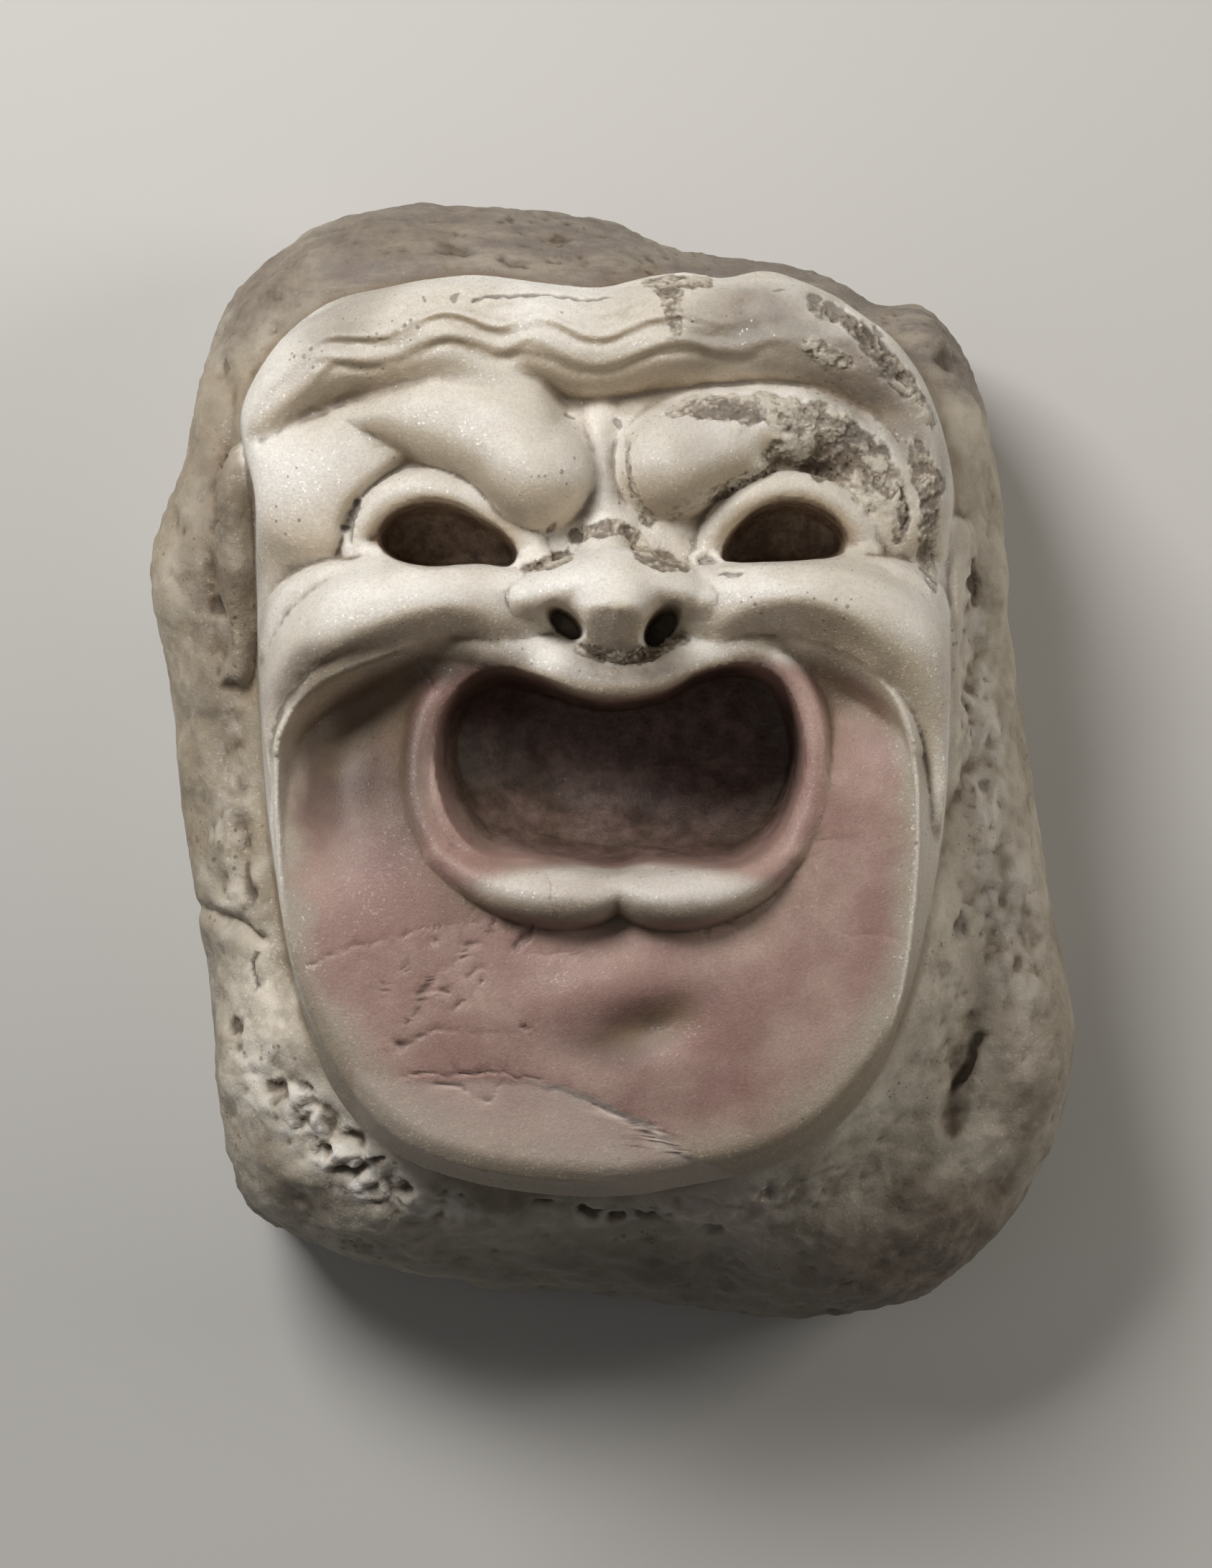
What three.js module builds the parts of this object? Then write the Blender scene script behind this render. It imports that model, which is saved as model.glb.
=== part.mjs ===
// A marble comedy mask carved from the front of a rough block, as one solid.
// Millimetres. The block lies on its flat back: +Z is the way the face looks, +Y is the top of the head.
import * as THREE from "three";

// Sizes of the block and of the mask on it
const BLOCK_FRONT = 122; // height of the rough front beside the mask
// Drop and width of the rounding at the outline
const BLOCK_EDGE = { side: [50, 30], top: [62, 44], foot: [84, 62] };
const BLOCK_WAIST = 60; // height at which the block is widest
const BLOCK_BACK_INSET = 9; // how far the sides come in at the back
const FACE_HEIGHT = 178; // middle of the forehead and cheeks
const FACE_FALL = 30; // how much lower the sides of the face are
const HALF_FACE = 130;
const FUNNEL_HEIGHT = 185; // the hollow horn round the mouth
const RIM_HEIGHT = 189;
const MOUTH_FLOOR = 116;
const EYE_FLOOR = 138;
const NOSTRIL_FLOOR = 170;
const SIDE_DRAFT = 0.1; // the mask's sides spread towards the block
const CHIN_UNDERCUT = 0.3; // below the chin they go in instead
const JOINT_FILLET = 4;

// Sizes of the mesh
const CELL = 3.6;
const FACE_TARGET = 9800;
const BOX = { x: [-190, 190], y: [-232, 234], z: [-CELL, 240] };

// Outlines seen from the front, as rounded loops of corner points
const BLOCK_OUTLINE = [
  [-140, 196], [-112, 214], [-75, 222], [-10, 218], [32, 204], [78, 197], [105, 184], [128, 179], [145, 148],
  [152, 105], [158, 45], [166, -8], [172, -50], [180, -105], [174, -150], [155, -185], [118, -214],
  [70, -221],
  [15, -214], [-55, -207], [-105, -197], [-145, -178], [-152, -135], [-160, -65], [-168, -10], [-173, 40],
  [-180, 78], [-168, 120], [-158, 165],
];
const HEAD_OUTLINE = [
  [-138, 120], [-138, 137], [-125, 159], [-106, 174], [-85, 179.5], [-65, 183], [-48, 184], [-24, 181],
  [-4, 179.5], [14, 183.5], [28, 185], [41, 183], [55, 185.5], [66, 184], [82, 177], [94, 169], [105, 161],
  [115.5, 148], [122, 134], [126, 120], [128.5, 104], [127.5, 80], [127, 30], [125.5, -15], [119, -58],
  [109, -94], [93, -123], [72, -143], [45, -154], [5, -161], [-40, -158], [-76, -147], [-99, -127],
  [-115, -94],
  [-124, -50], [-129, -15], [-132, 30], [-133, 70], [-134, 100],
];
const RIM_OUTLINE = [
  [-123, 0], [-119.5, 16], [-111, 27], [-98, 35], [-72, 44], [-55, 48], [-38, 44.5], [-20, 37], [0, 32],
  [16, 34],
  [30, 41], [50, 48], [70, 46.5], [92, 37], [106, 21], [112, 2], [113.5, -25], [111, -60], [105, -92],
  [92, -118],
  [72, -138], [45, -149], [5, -156], [-40, -153], [-75, -142], [-96, -122], [-112, -90], [-121, -50],
];
const MOUTH_OUTLINE = [
  [-66, 2], [-63, 20], [-54, 32], [-42, 36], [-28, 33], [-14, 27], [0, 24], [18, 27], [32, 34], [47, 37.5],
  [60, 34], [68, 23], [71.5, 5], [69, -12], [61, -28], [48, -37], [30, -37.5], [14, -37], [2, -39.5],
  [-12, -38],
  [-30, -35.5], [-48, -33], [-60, -20],
];
const LEFT_EYE = [
  [-87.5, 85], [-83, 93], [-72, 98], [-60, 97.5], [-48, 92], [-39, 86], [-34.5, 79], [-38, 73.5],
  [-50, 74.5],
  [-68, 73.5], [-82, 77],
];
const RIGHT_EYE = [
  [40.5, 78.5], [45, 88], [54, 95.5], [66, 98.8], [79, 95.5], [87, 88], [87.5, 81], [83, 77], [66, 75.5],
  [45, 75],
];

// Hollows under the hair and across the worn brow: x, y, half width, depth
const FURROWS = [
  [
    [-129, 121, 4, 4], [-107, 133, 4.5, 6], [-87, 138, 4.5, 6], [-68, 142, 4.5, 5], [-50, 141, 4.5, 3.5],
    [-28, 136, 5, 2.8], [-10, 134, 5, 2.8], [8, 137, 5, 2.6], [25, 143, 5, 2.2], [45, 143, 5, 2],
    [62, 140, 5, 1.8], [80, 139, 4.5, 1.5], [98, 131, 4, 1.2],
  ],
  [[46, 132, 6, 0.5], [52, 122, 6, 2.5], [58, 113, 5.5, 5], [67, 106, 5, 4.5]],
];

// Round rolls: each row is x, y, half width, height of the crown, and how far the edge lies below it
const HAIR = [
  [-132, 106, 10, 160, 16], [-130, 121, 14, 168, 20], [-121, 137, 16, 174, 22], [-106, 149, 18, 181, 24],
  [-87, 157, 19.5, 186, 26], [-62, 161, 20, 190, 27], [-35, 160, 21, 192, 28], [-8, 156, 21, 192, 28],
  [18, 159, 21, 191, 28], [45, 161, 21, 190, 27], [70, 160, 21, 187, 26], [92, 151, 20, 181, 25],
  [108, 137, 17, 173, 24], [117, 120, 12, 165, 22], [121, 100, 8, 158, 18], [123, 80, 5, 151, 14],
];
const WAVES = [
  [-135, 3], [-126, 4.5], [-116, 2.5], [-106, 5], [-82, -4], [-60, 2.5], [-43, -2.6], [-28, 3.6], [-3, -2.2],
  [24, 3.2], [43, -1.5], [62, 2], [82, -1], [105, 1.5],
]; // x of each crest or trough of the strands, and how far they swing outwards there
const SIDE_LOCKS = [
  [
    [-139, 112, 9, 152, 14], [-142.5, 92, 9.5, 146, 16], [-143, 70, 9.5, 140, 16], [-143, 50, 9, 135, 16],
    [-143.5, 36, 7.5, 130, 14],
  ],
  [
    [128, 88, 7, 146, 14], [130, 60, 7.5, 142, 14], [130, 30, 7, 138, 14], [128.5, 0, 6, 134, 12],
    [126, -14, 4, 130, 10],
  ],
];
const BROW_GAP = [[-4, 138, 7, 173, 9], [-4.5, 118, 6, 177, 9], [-3.5, 100, 7, 178, 9],
  [-1, 88, 12, 182, 12]];
const UPPER_LIDS = [
  [
    [-96, 79, 4, 169, 6], [-93, 88, 5.5, 174, 8], [-87, 95.5, 6.5, 177, 9], [-77, 101, 7.5, 180, 10],
    [-66, 102, 8, 182, 10], [-54, 98.5, 7.5, 183, 10], [-43, 91.5, 7, 182, 9], [-30, 82, 6.5, 179, 8],
  ],
  [
    [34, 77, 5, 176, 8], [38.5, 88, 5.5, 179, 9], [46, 95.5, 6.5, 181, 9], [56, 100.5, 7, 182, 10],
    [67, 102.5, 7, 181, 10], [79, 99.5, 6.5, 179, 9], [88.5, 92.5, 6.5, 175, 9], [93.5, 85, 6, 172, 9],
    [96, 77, 5, 170, 8],
  ],
];
const LOWER_LIDS = [
  [[-95, 80, 5, 171, 5], [-80, 76, 4.5, 177, 5], [-60, 73.5, 4, 181, 5], [-40, 72.5, 4, 183, 5],
   [-27, 76, 5.5, 181, 6]],
  [[33, 75, 5, 179, 7], [52, 74, 4, 182, 6], [70, 74.5, 4, 183, 6], [86, 76, 4.5, 179, 6],
   [97, 79, 4.5, 171, 6]],
];
const SMILE_FOLDS = [
  [[-86, 71.5, 5, 178, 6], [-104, 69, 6, 178, 8], [-117, 60, 8, 172, 9], [-126, 44, 7, 163, 8]],
  [[92, 71, 6, 181, 7], [104, 68.5, 7, 181, 9], [115, 60, 8, 175, 10], [122, 46, 7, 165, 9]],
];
const NOSE = [
  [-3, 87, 7, 183, 12], [-2.5, 79, 10, 196, 20], [-1, 72, 14.5, 207, 26], [0.5, 65, 17.5, 216, 31],
  [1.2, 59, 18, 222.5, 35], [1.5, 54.5, 16.5, 224, 38],
];
const NOSE_WINGS = [
  [-31, 61, 8.5, 203, 20], [-24, 62.5, 10, 208, 24], [-11, 65, 12, 212, 28], [1, 67, 13, 214, 30],
  [13, 65.5, 12, 212, 28], [25, 63, 10.5, 208, 24], [32, 60.5, 8.5, 203, 20],
];
const LOWER_LIP = [
  [-63, -33, 6, 188, 9], [-51, -41, 8, 194, 14], [-37, -46, 10.5, 200, 18], [-21, -48.5, 11.5, 203.5, 20],
  [-8, -48.5, 10.5, 202.5, 19], [2.5, -46, 8.5, 200, 16], [13, -48.5, 10.5, 203, 19],
  [26, -49, 11.5, 204, 20],
  [41, -46.5, 10.5, 201, 18], [55, -41, 8.2, 195, 14], [66, -32, 6, 189, 10],
];
const MOUTH_CORNERS = [
  [
    [-63, -33, 6, 188, 9], [-71, -15, 5.2, 185, 6], [-71.5, 5, 5, 181, 5], [-66.5, 22, 5, 178, 5],
    [-57, 33, 5, 178, 5], [-46, 38, 4, 179, 5],
  ],
  [
    [66, -32, 6, 189, 9], [73.5, -15, 5.2, 187, 7], [75.5, 5, 5, 186, 6], [72, 24, 5, 185, 6],
    [62, 38, 4.5, 185, 6],
    [50, 43, 4, 185, 6],
  ],
];

// Two-sided folds: x, y, height of the crown, then width and drop on the left of the way it runs, and on
// the right
const LEFT_BROW = [
  [-102, 133, 172, 16, 3, 4, 4], [-86, 131, 181, 22, 4, 8, 8], [-67, 127, 189, 27, 6, 14, 16],
  [-50, 121, 194, 28, 9, 16, 22], [-38, 114, 197, 26, 13, 17, 24], [-30, 109, 196, 22, 18, 18, 25],
];
const RIGHT_BROW = [
  [22, 110, 194, 20, 21, 17, 22], [33, 116, 194, 21, 19, 17, 20], [47, 120, 192, 20, 17, 15, 17],
  [60, 124, 188, 17, 13, 14, 14], [76, 125, 182, 14, 10, 13, 11], [92, 118, 174, 12, 8, 13, 8],
  [104, 105, 165, 10, 8, 12, 7],
];
const LEFT_CHEEK = [
  [-34, 62, 197, 17, 14, 10, 14], [-55, 61, 202, 17, 17, 12, 11], [-74, 58.5, 204, 18, 21, 14, 11],
  [-92, 52, 203, 20, 26, 16, 13], [-106, 42, 198, 21, 30, 15, 15], [-115, 27, 190, 18, 30, 13, 16],
  [-121.5, 8, 181, 11, 22, 9, 12], [-125, -14, 176, 7, 16, 6, 12], [-126.5, -40, 170, 5, 12, 5, 12],
];
const RIGHT_CHEEK = [
  [36, 63, 199, 10, 14, 18, 15], [57, 61.5, 204, 12, 12, 19, 17], [76, 59.5, 207, 14, 12, 20, 22],
  [94, 53, 205, 16, 14, 22, 27], [107, 43, 199, 16, 17, 21, 31], [115, 28, 191, 13, 18, 18, 32],
  [119.5, 8, 181, 8, 14, 11, 22], [121, -14, 175, 7, 12, 7, 18], [120.5, -40, 168, 5, 12, 5, 16],
];
const UPPER_LIP = [
  [-74, 46, 178, 6, 3, 6, 5], [-54, 46.5, 186, 8, 4, 8, 8], [-35, 41.5, 191, 9, 6, 10, 12],
  [-16, 34.5, 197, 8, 6, 10, 15], [2, 31.5, 199, 7, 7, 10, 17], [19, 34, 197, 8, 6, 10, 15],
  [37, 41.5, 191, 9, 6, 10, 12], [56, 46, 186, 8, 4, 8, 8], [74, 45, 178, 6, 3, 6, 5],
];

// Domes: x, y, half length, half width, turn in degrees, height of the crown, drop at the edge
const TEMPLES = [[-102, 110, 37, 29, 38, 177, 15], [98, 104, 28, 30, -30, 171, 13]];
const BROW_BALLS = [[-28, 107, 21, 20, 0, 199, 26], [23, 112, 20, 20, 0, 197, 26]];

// Soft hollows and swellings: x, y, half length, half width, turn in degrees, height
const EYE_SOCKETS = [[-60, 84, 34, 20, 0, -6], [66, 84, 32, 20, 0, -5]];
const FUNNEL_HOLLOWS = [[-86, 24, 32, 24, 0, -18], [-101, -2, 20, 36, 8, -14], [84, 26, 24, 22, 0, -12]];
const CHIN_FORMS = [[-6, -84, 26, 13, 10, 5], [14, -96, 19, 9, 20, -6.5], [48, -84, 26, 22, 0, 2.5],
  [4, -112, 30, 12, 0, 2]];
const NOSTRILS = [[-17, 52, 8.5, 4.6, -42], [18.5, 50.5, 9.5, 5.4, 50]];
const LID_CREASE = [[-100, 80], [-98, 91], [-92, 99.5], [-82, 108], [-71, 113.5], [-56, 112]];

const clamp = (v, low, high) => Math.min(Math.max(v, low), high);
const radians = (degrees) => (degrees * Math.PI) / 180;

// The larger of two heights, with the corner between them filled over a width k
function softMax(a, b, k) {
  const h = clamp(0.5 + (0.5 * (a - b)) / k, 0, 1);
  return b + (a - b) * h + k * h * (1 - h);
}

const softMin = (a, b, k) => -softMax(-a, -b, k);

function smooth(low, high, v) {
  const t = clamp((v - low) / (high - low), 0, 1);
  return t * t * (3 - 2 * t);
}

// A smooth curve through rows of numbers, as short straight steps
function curve(rows, closed, steps) {
  const n = rows.length;
  const at = (i) => (closed ? rows[(i + n) % n] : rows[clamp(i, 0, n - 1)]);
  const line = [];
  for (let i = 0; i < (closed ? n : n - 1); i++) {
    const [a, b, c, d] = [at(i - 1), at(i), at(i + 1), at(i + 2)];
    for (let s = 0; s < steps; s++) {
      const t = s / steps;
      line.push(
        b.map((v, j) => {
          const square = 2 * a[j] - 5 * v + 4 * c[j] - d[j];
          const cube = 3 * v - a[j] - 3 * c[j] + d[j];
          return 0.5 * (2 * v + (c[j] - a[j]) * t + square * t * t + cube * t * t * t);
        }),
      );
    }
  }
  line.push(closed ? line[0] : rows[n - 1]);
  return line;
}

// The nearest place on a line: distance, the values carried there, and the side it is on
function nearest(line, x, y) {
  let best = { distance: Infinity };
  for (let i = 0; i + 1 < line.length; i++) {
    const [a, b] = [line[i], line[i + 1]];
    const [dx, dy] = [b[0] - a[0], b[1] - a[1]];
    const length = Math.hypot(dx, dy) || 1e-9;
    const t = clamp(((x - a[0]) * dx + (y - a[1]) * dy) / (length * length), 0, 1);
    const distance = Math.hypot(x - a[0] - t * dx, y - a[1] - t * dy);
    if (distance < best.distance) best = { distance, a, b, t, dx, dy, length };
  }
  const { a, b, t, dx, dy, length } = best;
  best.values = a.slice(2).map((v, j) => v + t * (b[j + 2] - v));
  best.left = (dx * (y - a[1]) - dy * (x - a[0])) / length;
  return best;
}

// Distance to a closed loop, negative inside it
function insideDistance(loop, x, y) {
  let best = Infinity;
  let inside = false;
  for (let i = 0; i + 1 < loop.length; i++) {
    const [a, b] = [loop[i], loop[i + 1]];
    const [dx, dy] = [b[0] - a[0], b[1] - a[1]];
    const t = clamp(((x - a[0]) * dx + (y - a[1]) * dy) / (dx * dx + dy * dy || 1e-9), 0, 1);
    best = Math.min(best, Math.hypot(x - a[0] - t * dx, y - a[1] - t * dy));
    if (a[1] > y !== b[1] > y && x < a[0] + ((y - a[1]) * dx) / dy) inside = !inside;
  }
  return inside ? -best : best;
}

// How far a round profile has dropped at share r of its half width: nothing on the crown, all at the edge
function roundDrop(r) {
  if (r < 0.96) return 1 - Math.sqrt(1 - r * r);
  return 0.72 + (r - 0.96) * 3.4;
}

const ROLL_STEPS = 6;
const LOOP_STEPS = 4;
const rollOf = (rows) => curve(rows, false, ROLL_STEPS);
const loopOf = (rows) => curve(rows, true, LOOP_STEPS);

function roll(line, x, y) {
  const { distance, values } = nearest(line, x, y);
  const [width, crown, drop] = values;
  return crown - drop * roundDrop(distance / width);
}

function fold(line, x, y) {
  const { distance, values, left } = nearest(line, x, y);
  const [crown, leftWidth, leftDrop, rightWidth, rightDrop] = values;
  const side = smooth(-0.5, 0.5, left / Math.max(distance, 1e-6));
  const width = rightWidth + (leftWidth - rightWidth) * side;
  const drop = rightDrop + (leftDrop - rightDrop) * side;
  return crown - drop * roundDrop(distance / width);
}

// Place of a point inside a turned ellipse: 0 at the middle, 1 on its edge
function ellipseShare(x, y, cx, cy, halfLength, halfWidth, turn) {
  const [c, s] = [Math.cos(radians(turn)), Math.sin(radians(turn))];
  const u = (x - cx) * c + (y - cy) * s;
  const v = (y - cy) * c - (x - cx) * s;
  return Math.hypot(u / halfLength, v / halfWidth);
}

function dome([cx, cy, halfLength, halfWidth, turn, crown, drop], x, y) {
  return crown - drop * roundDrop(ellipseShare(x, y, cx, cy, halfLength, halfWidth, turn));
}

function swelling([cx, cy, halfLength, halfWidth, turn, height], x, y) {
  return height * Math.exp(-(ellipseShare(x, y, cx, cy, halfLength, halfWidth, turn) ** 2));
}

// A number between -1 and 1 for each corner of a lattice, always the same for the same corner
function lattice(i, j, k, seed) {
  let n = (Math.imul(i, 374761393) + Math.imul(j, 668265263) + Math.imul(k, 1274126177)
    + Math.imul(seed, 974711)) | 0;
  n = Math.imul(n ^ (n >>> 13), 1274126177);
  n ^= n >>> 16;
  return (n & 0xffff) / 32767.5 - 1;
}

// Smooth lumps of one size
function lumps(x, y, z, cell, seed) {
  const [px, py, pz] = [x / cell, y / cell, z / cell];
  const [i, j, k] = [Math.floor(px), Math.floor(py), Math.floor(pz)];
  const ease = (t) => t * t * (3 - 2 * t);
  const [fx, fy, fz] = [ease(px - i), ease(py - j), ease(pz - k)];
  let sum = 0;
  for (let a = 0; a < 2; a++)
    for (let b = 0; b < 2; b++)
      for (let c = 0; c < 2; c++) {
        const share = (a ? fx : 1 - fx) * (b ? fy : 1 - fy) * (c ? fz : 1 - fz);
        sum += share * lattice(i + a, j + b, k + c, seed);
      }
  return sum;
}

const lines = {
  block: loopOf(BLOCK_OUTLINE),
  head: loopOf(HEAD_OUTLINE),
  rim: loopOf(RIM_OUTLINE),
  mouth: loopOf(MOUTH_OUTLINE),
  eyes: [LEFT_EYE, RIGHT_EYE].map(loopOf),
  hair: rollOf(HAIR),
  browGap: rollOf(BROW_GAP),
  upperLids: UPPER_LIDS.map(rollOf),
  lowerLids: LOWER_LIDS.map(rollOf),
  smileFolds: SMILE_FOLDS.map(rollOf),
  nose: rollOf(NOSE),
  noseWings: rollOf(NOSE_WINGS),
  lowerLip: rollOf(LOWER_LIP),
  mouthCorners: MOUTH_CORNERS.map(rollOf),
  leftBrow: rollOf(LEFT_BROW),
  rightBrow: rollOf(RIGHT_BROW),
  cheeks: [LEFT_CHEEK, RIGHT_CHEEK].map(rollOf),
  upperLip: rollOf(UPPER_LIP),
  lidCrease: rollOf(LID_CREASE),
  furrows: FURROWS.map(rollOf),
  sideLocks: SIDE_LOCKS.map(rollOf),
};

// The roll of hair over the forehead, combed in overlapping wavy strands that are worn away on the right
const HAIR_CENTRE = [-5, 20];
const STRAND_STEP = 9.6; // from one groove to the next
const STRAND_DEPTH = 2.1;
function hairHeight(x, y) {
  const { distance, values, a, b, t } = nearest(lines.hair, x, y);
  const [width, crown, drop] = values;
  const radiusAt = (px, py) => Math.hypot(px - HAIR_CENTRE[0], py - HAIR_CENTRE[1]);
  const nearX = a[0] + t * (b[0] - a[0]);
  const radius = radiusAt(nearX, a[1] + t * (b[1] - a[1]));
  const across = radiusAt(x, y) > radius ? distance : -distance;
  let swing = WAVES[0][1];
  for (let i = 0; i + 1 < WAVES.length; i++) {
    swing += (WAVES[i + 1][1] - WAVES[i][1]) * smooth(WAVES[i][0], WAVES[i + 1][0], nearX);
  }
  const lane = (across - swing) / STRAND_STEP;
  const part = lane - Math.floor(lane);
  const kept = (1 - 0.6 * smooth(30, 85, nearX)) * (0.85 + 0.35 * lumps(x, 2 * y, 0, 26, 7));
  const fade = smooth(1.1, 0.85, distance / width);
  const strand = STRAND_DEPTH * (smooth(0, 0.35, part) * (1 - part) - 0.4) * kept * fade;
  const waved = 0.3 * swing * smooth(1, 0.4, distance / width);
  return crown - drop * roundDrop(distance / width) + strand + waved;
}

// Forehead, temples, brows, eyelids, cheeks and nose
function faceHeight(x, y) {
  let z = FACE_HEIGHT - FACE_FALL * Math.abs((x + 3) / HALF_FACE) ** 2.4 - 6 * clamp((y - 60) / 110, 0, 1);
  for (const socket of EYE_SOCKETS) z += swelling(socket, x, y);
  z = softMax(z, hairHeight(x, y), 2.5);
  for (const temple of TEMPLES) z = softMax(z, dome(temple, x, y), 12);
  z -= 5 * Math.exp(-((nearest(lines.lidCrease, x, y).distance / 2.6) ** 2));
  z = softMax(z, softMax(fold(lines.leftBrow, x, y), dome(BROW_BALLS[0], x, y), 13), 8);
  z = softMax(z, softMax(fold(lines.rightBrow, x, y), dome(BROW_BALLS[1], x, y), 13), 8);
  z = softMax(z, roll(lines.browGap, x, y), 6);
  for (const furrow of lines.furrows) {
    const { distance, values } = nearest(furrow, x, y);
    z -= values[1] * Math.exp(-((distance / values[0]) ** 2));
  }
  for (const lid of lines.upperLids) z = softMax(z, roll(lid, x, y), 2.5);
  for (const lid of lines.lowerLids) z = softMax(z, roll(lid, x, y), 4);
  for (const smileFold of lines.smileFolds) z = softMax(z, roll(smileFold, x, y), 2.5);
  for (const cheek of lines.cheeks) z = softMax(z, fold(cheek, x, y), 3.5);
  return softMax(z, softMax(roll(lines.nose, x, y), roll(lines.noseWings, x, y), 9), 6);
}

// The horn round the mouth, with a fine raised edge where it meets the cheeks, and the face outside it
function hornHeight(x, y, rim) {
  const low = clamp((-y - 60) / 95, 0, 1) ** 2;
  const high = smooth(-10, 30, y);
  const left = smooth(40, -40, x);
  let funnel = FUNNEL_HEIGHT - 10 * low;
  for (const form of [...FUNNEL_HOLLOWS, ...CHIN_FORMS]) funnel += swelling(form, x, y);
  const edgeHeight = RIM_HEIGHT * high + (RIM_HEIGHT - 3 - 9 * low) * (1 - high);
  const below = smooth(-30, -110, y);
  const sharpness = 0.5 + 0.5 * left * (1 - below) + 0.9 * (1 - left) * (1 - high);
  const ridge = edgeHeight - 1.6 * Math.abs(rim - 0.3) ** 1.25 * sharpness;
  const rounding = (8 + 2 * smooth(-60, -140, y)) * below * clamp(left + smooth(-60, -145, y), 0, 1) + 0.01;
  const rounded = rounding * roundDrop(clamp(1 + rim / rounding, 0, 1));
  const inside = softMax(funnel, rim < 12 ? ridge : -100, 4) - rounded;
  const wall = edgeHeight - Math.max(2, rounding) - 2.2 * Math.max(rim, 0);
  let outside = faceHeight(x, y);
  if (y <= 30) outside = softMax(outside - 80 * smooth(-20, -75, y), wall, 3);
  outside = softMin(outside, edgeHeight + 1.3 * Math.max(rim + 1, 0), 3);
  outside = softMax(outside, ridge - 60 * smooth(6, -14, y), 2);
  return inside + (outside - inside) * smooth(-0.8, 0.8, rim);
}

// Height of the whole mask over the back, with its lips and its openings
const HEAD_ROUNDING = 7;
function maskHeight(x, y, head, rim) {
  let z = hornHeight(x, y, rim);
  for (const corner of [...lines.mouthCorners, lines.lowerLip]) z = softMax(z, roll(corner, x, y), 3);
  z = softMax(z, fold(lines.upperLip, x, y), 4);
  const mouth = insideDistance(lines.mouth, x, y);
  if (mouth < 0) {
    const slope = 4 + 5 * smooth(8, -30, y) + 4 * smooth(0, -62, x);
    const rise = 22 * smooth(-5, -38, y) + 26 * smooth(-15, -66, x) + 2.5 * lumps(x, y, 0, 16, 5);
    const floor = MOUTH_FLOOR + rise;
    z = softMin(z, floor + (RIM_HEIGHT - 3 - floor) * (1 - clamp(-mouth / slope, 0, 1)) ** 1.8, 2);
  } else z = softMin(z, RIM_HEIGHT + 1 + 6 * mouth, 2);
  for (const loop of lines.eyes) {
    const eye = insideDistance(loop, x, y);
    const pit = eye < 0 ? EYE_FLOOR + 42 * (1 - clamp(-eye / 3.5, 0, 1)) ** 2.5 : 180 + 9 * eye;
    z = softMin(z, pit, 1);
  }
  for (const [cx, cy, halfLength, halfWidth, turn] of NOSTRILS) {
    const share = ellipseShare(x, y, cx, cy, halfLength, halfWidth, turn);
    if (share < 1.3) z = softMin(z, NOSTRIL_FLOOR + 110 * Math.max(share - 0.75, 0), 3);
  }
  const corner = HEAD_ROUNDING * 0.9 * roundDrop(clamp(1 + head / HEAD_ROUNDING, 0, 1)) * smooth(20, 60, y);
  return rim > 0 ? z - corner : z;
}

// How far the rough stone rises against the rim, at the lower right and at the lower left
const BANK_RISE = { right: 34, left: 14 };
const BANK_WIDTH = 34;
function bankHeight(x, y, rim) {
  const right = BANK_RISE.right * smooth(-5, 60, x) * smooth(0, -60, y);
  const left = BANK_RISE.left * smooth(-40, -90, x) * smooth(-70, -110, y);
  return (right + left) * smooth(BANK_WIDTH, 0, rim);
}

function blockHeight(x, y, edge, rim) {
  const [top, foot] = [smooth(120, 190, y), smooth(-110, -190, y)];
  const sized = (i) => BLOCK_EDGE.side[i] * (1 - top - foot) + BLOCK_EDGE.top[i] * top
    + BLOCK_EDGE.foot[i] * foot;
  let z = BLOCK_FRONT - sized(0) * roundDrop(clamp(1 + edge / sized(1), 0, 1)) + bankHeight(x, y, rim);
  for (const lock of lines.sideLocks) z = softMax(z, roll(lock, x, y), 3);
  return z;
}

// What depends only on the place seen from the front
function outlinesAt(x, y) {
  const head = insideDistance(lines.head, x, y);
  const rim = insideDistance(lines.rim, x, y);
  return { y, head, rim, mask: Math.min(head, rim), edge: insideDistance(lines.block, x, y) };
}

function columnAt(x, y) {
  const outlines = outlinesAt(x, y);
  const { head, rim, edge } = outlines;
  return { ...outlines, maskTop: maskHeight(x, y, head, rim), blockTop: blockHeight(x, y, edge, rim) };
}

// Depth under the surface, negative outside the stone
function depthAt(column, z) {
  const spread = SIDE_DRAFT - (SIDE_DRAFT + CHIN_UNDERCUT) * smooth(-90, -145, column.y);
  const side = -column.mask + spread * clamp(150 - z, -20, 50);
  const mask = Math.min(column.maskTop - z, side);
  const inset = BLOCK_BACK_INSET * (clamp(BLOCK_WAIST - z, 0, BLOCK_WAIST) / BLOCK_WAIST) ** 2;
  const block = Math.min(column.blockTop - z, -column.edge - inset);
  return softMax(mask, block, JOINT_FILLET);
}

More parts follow.
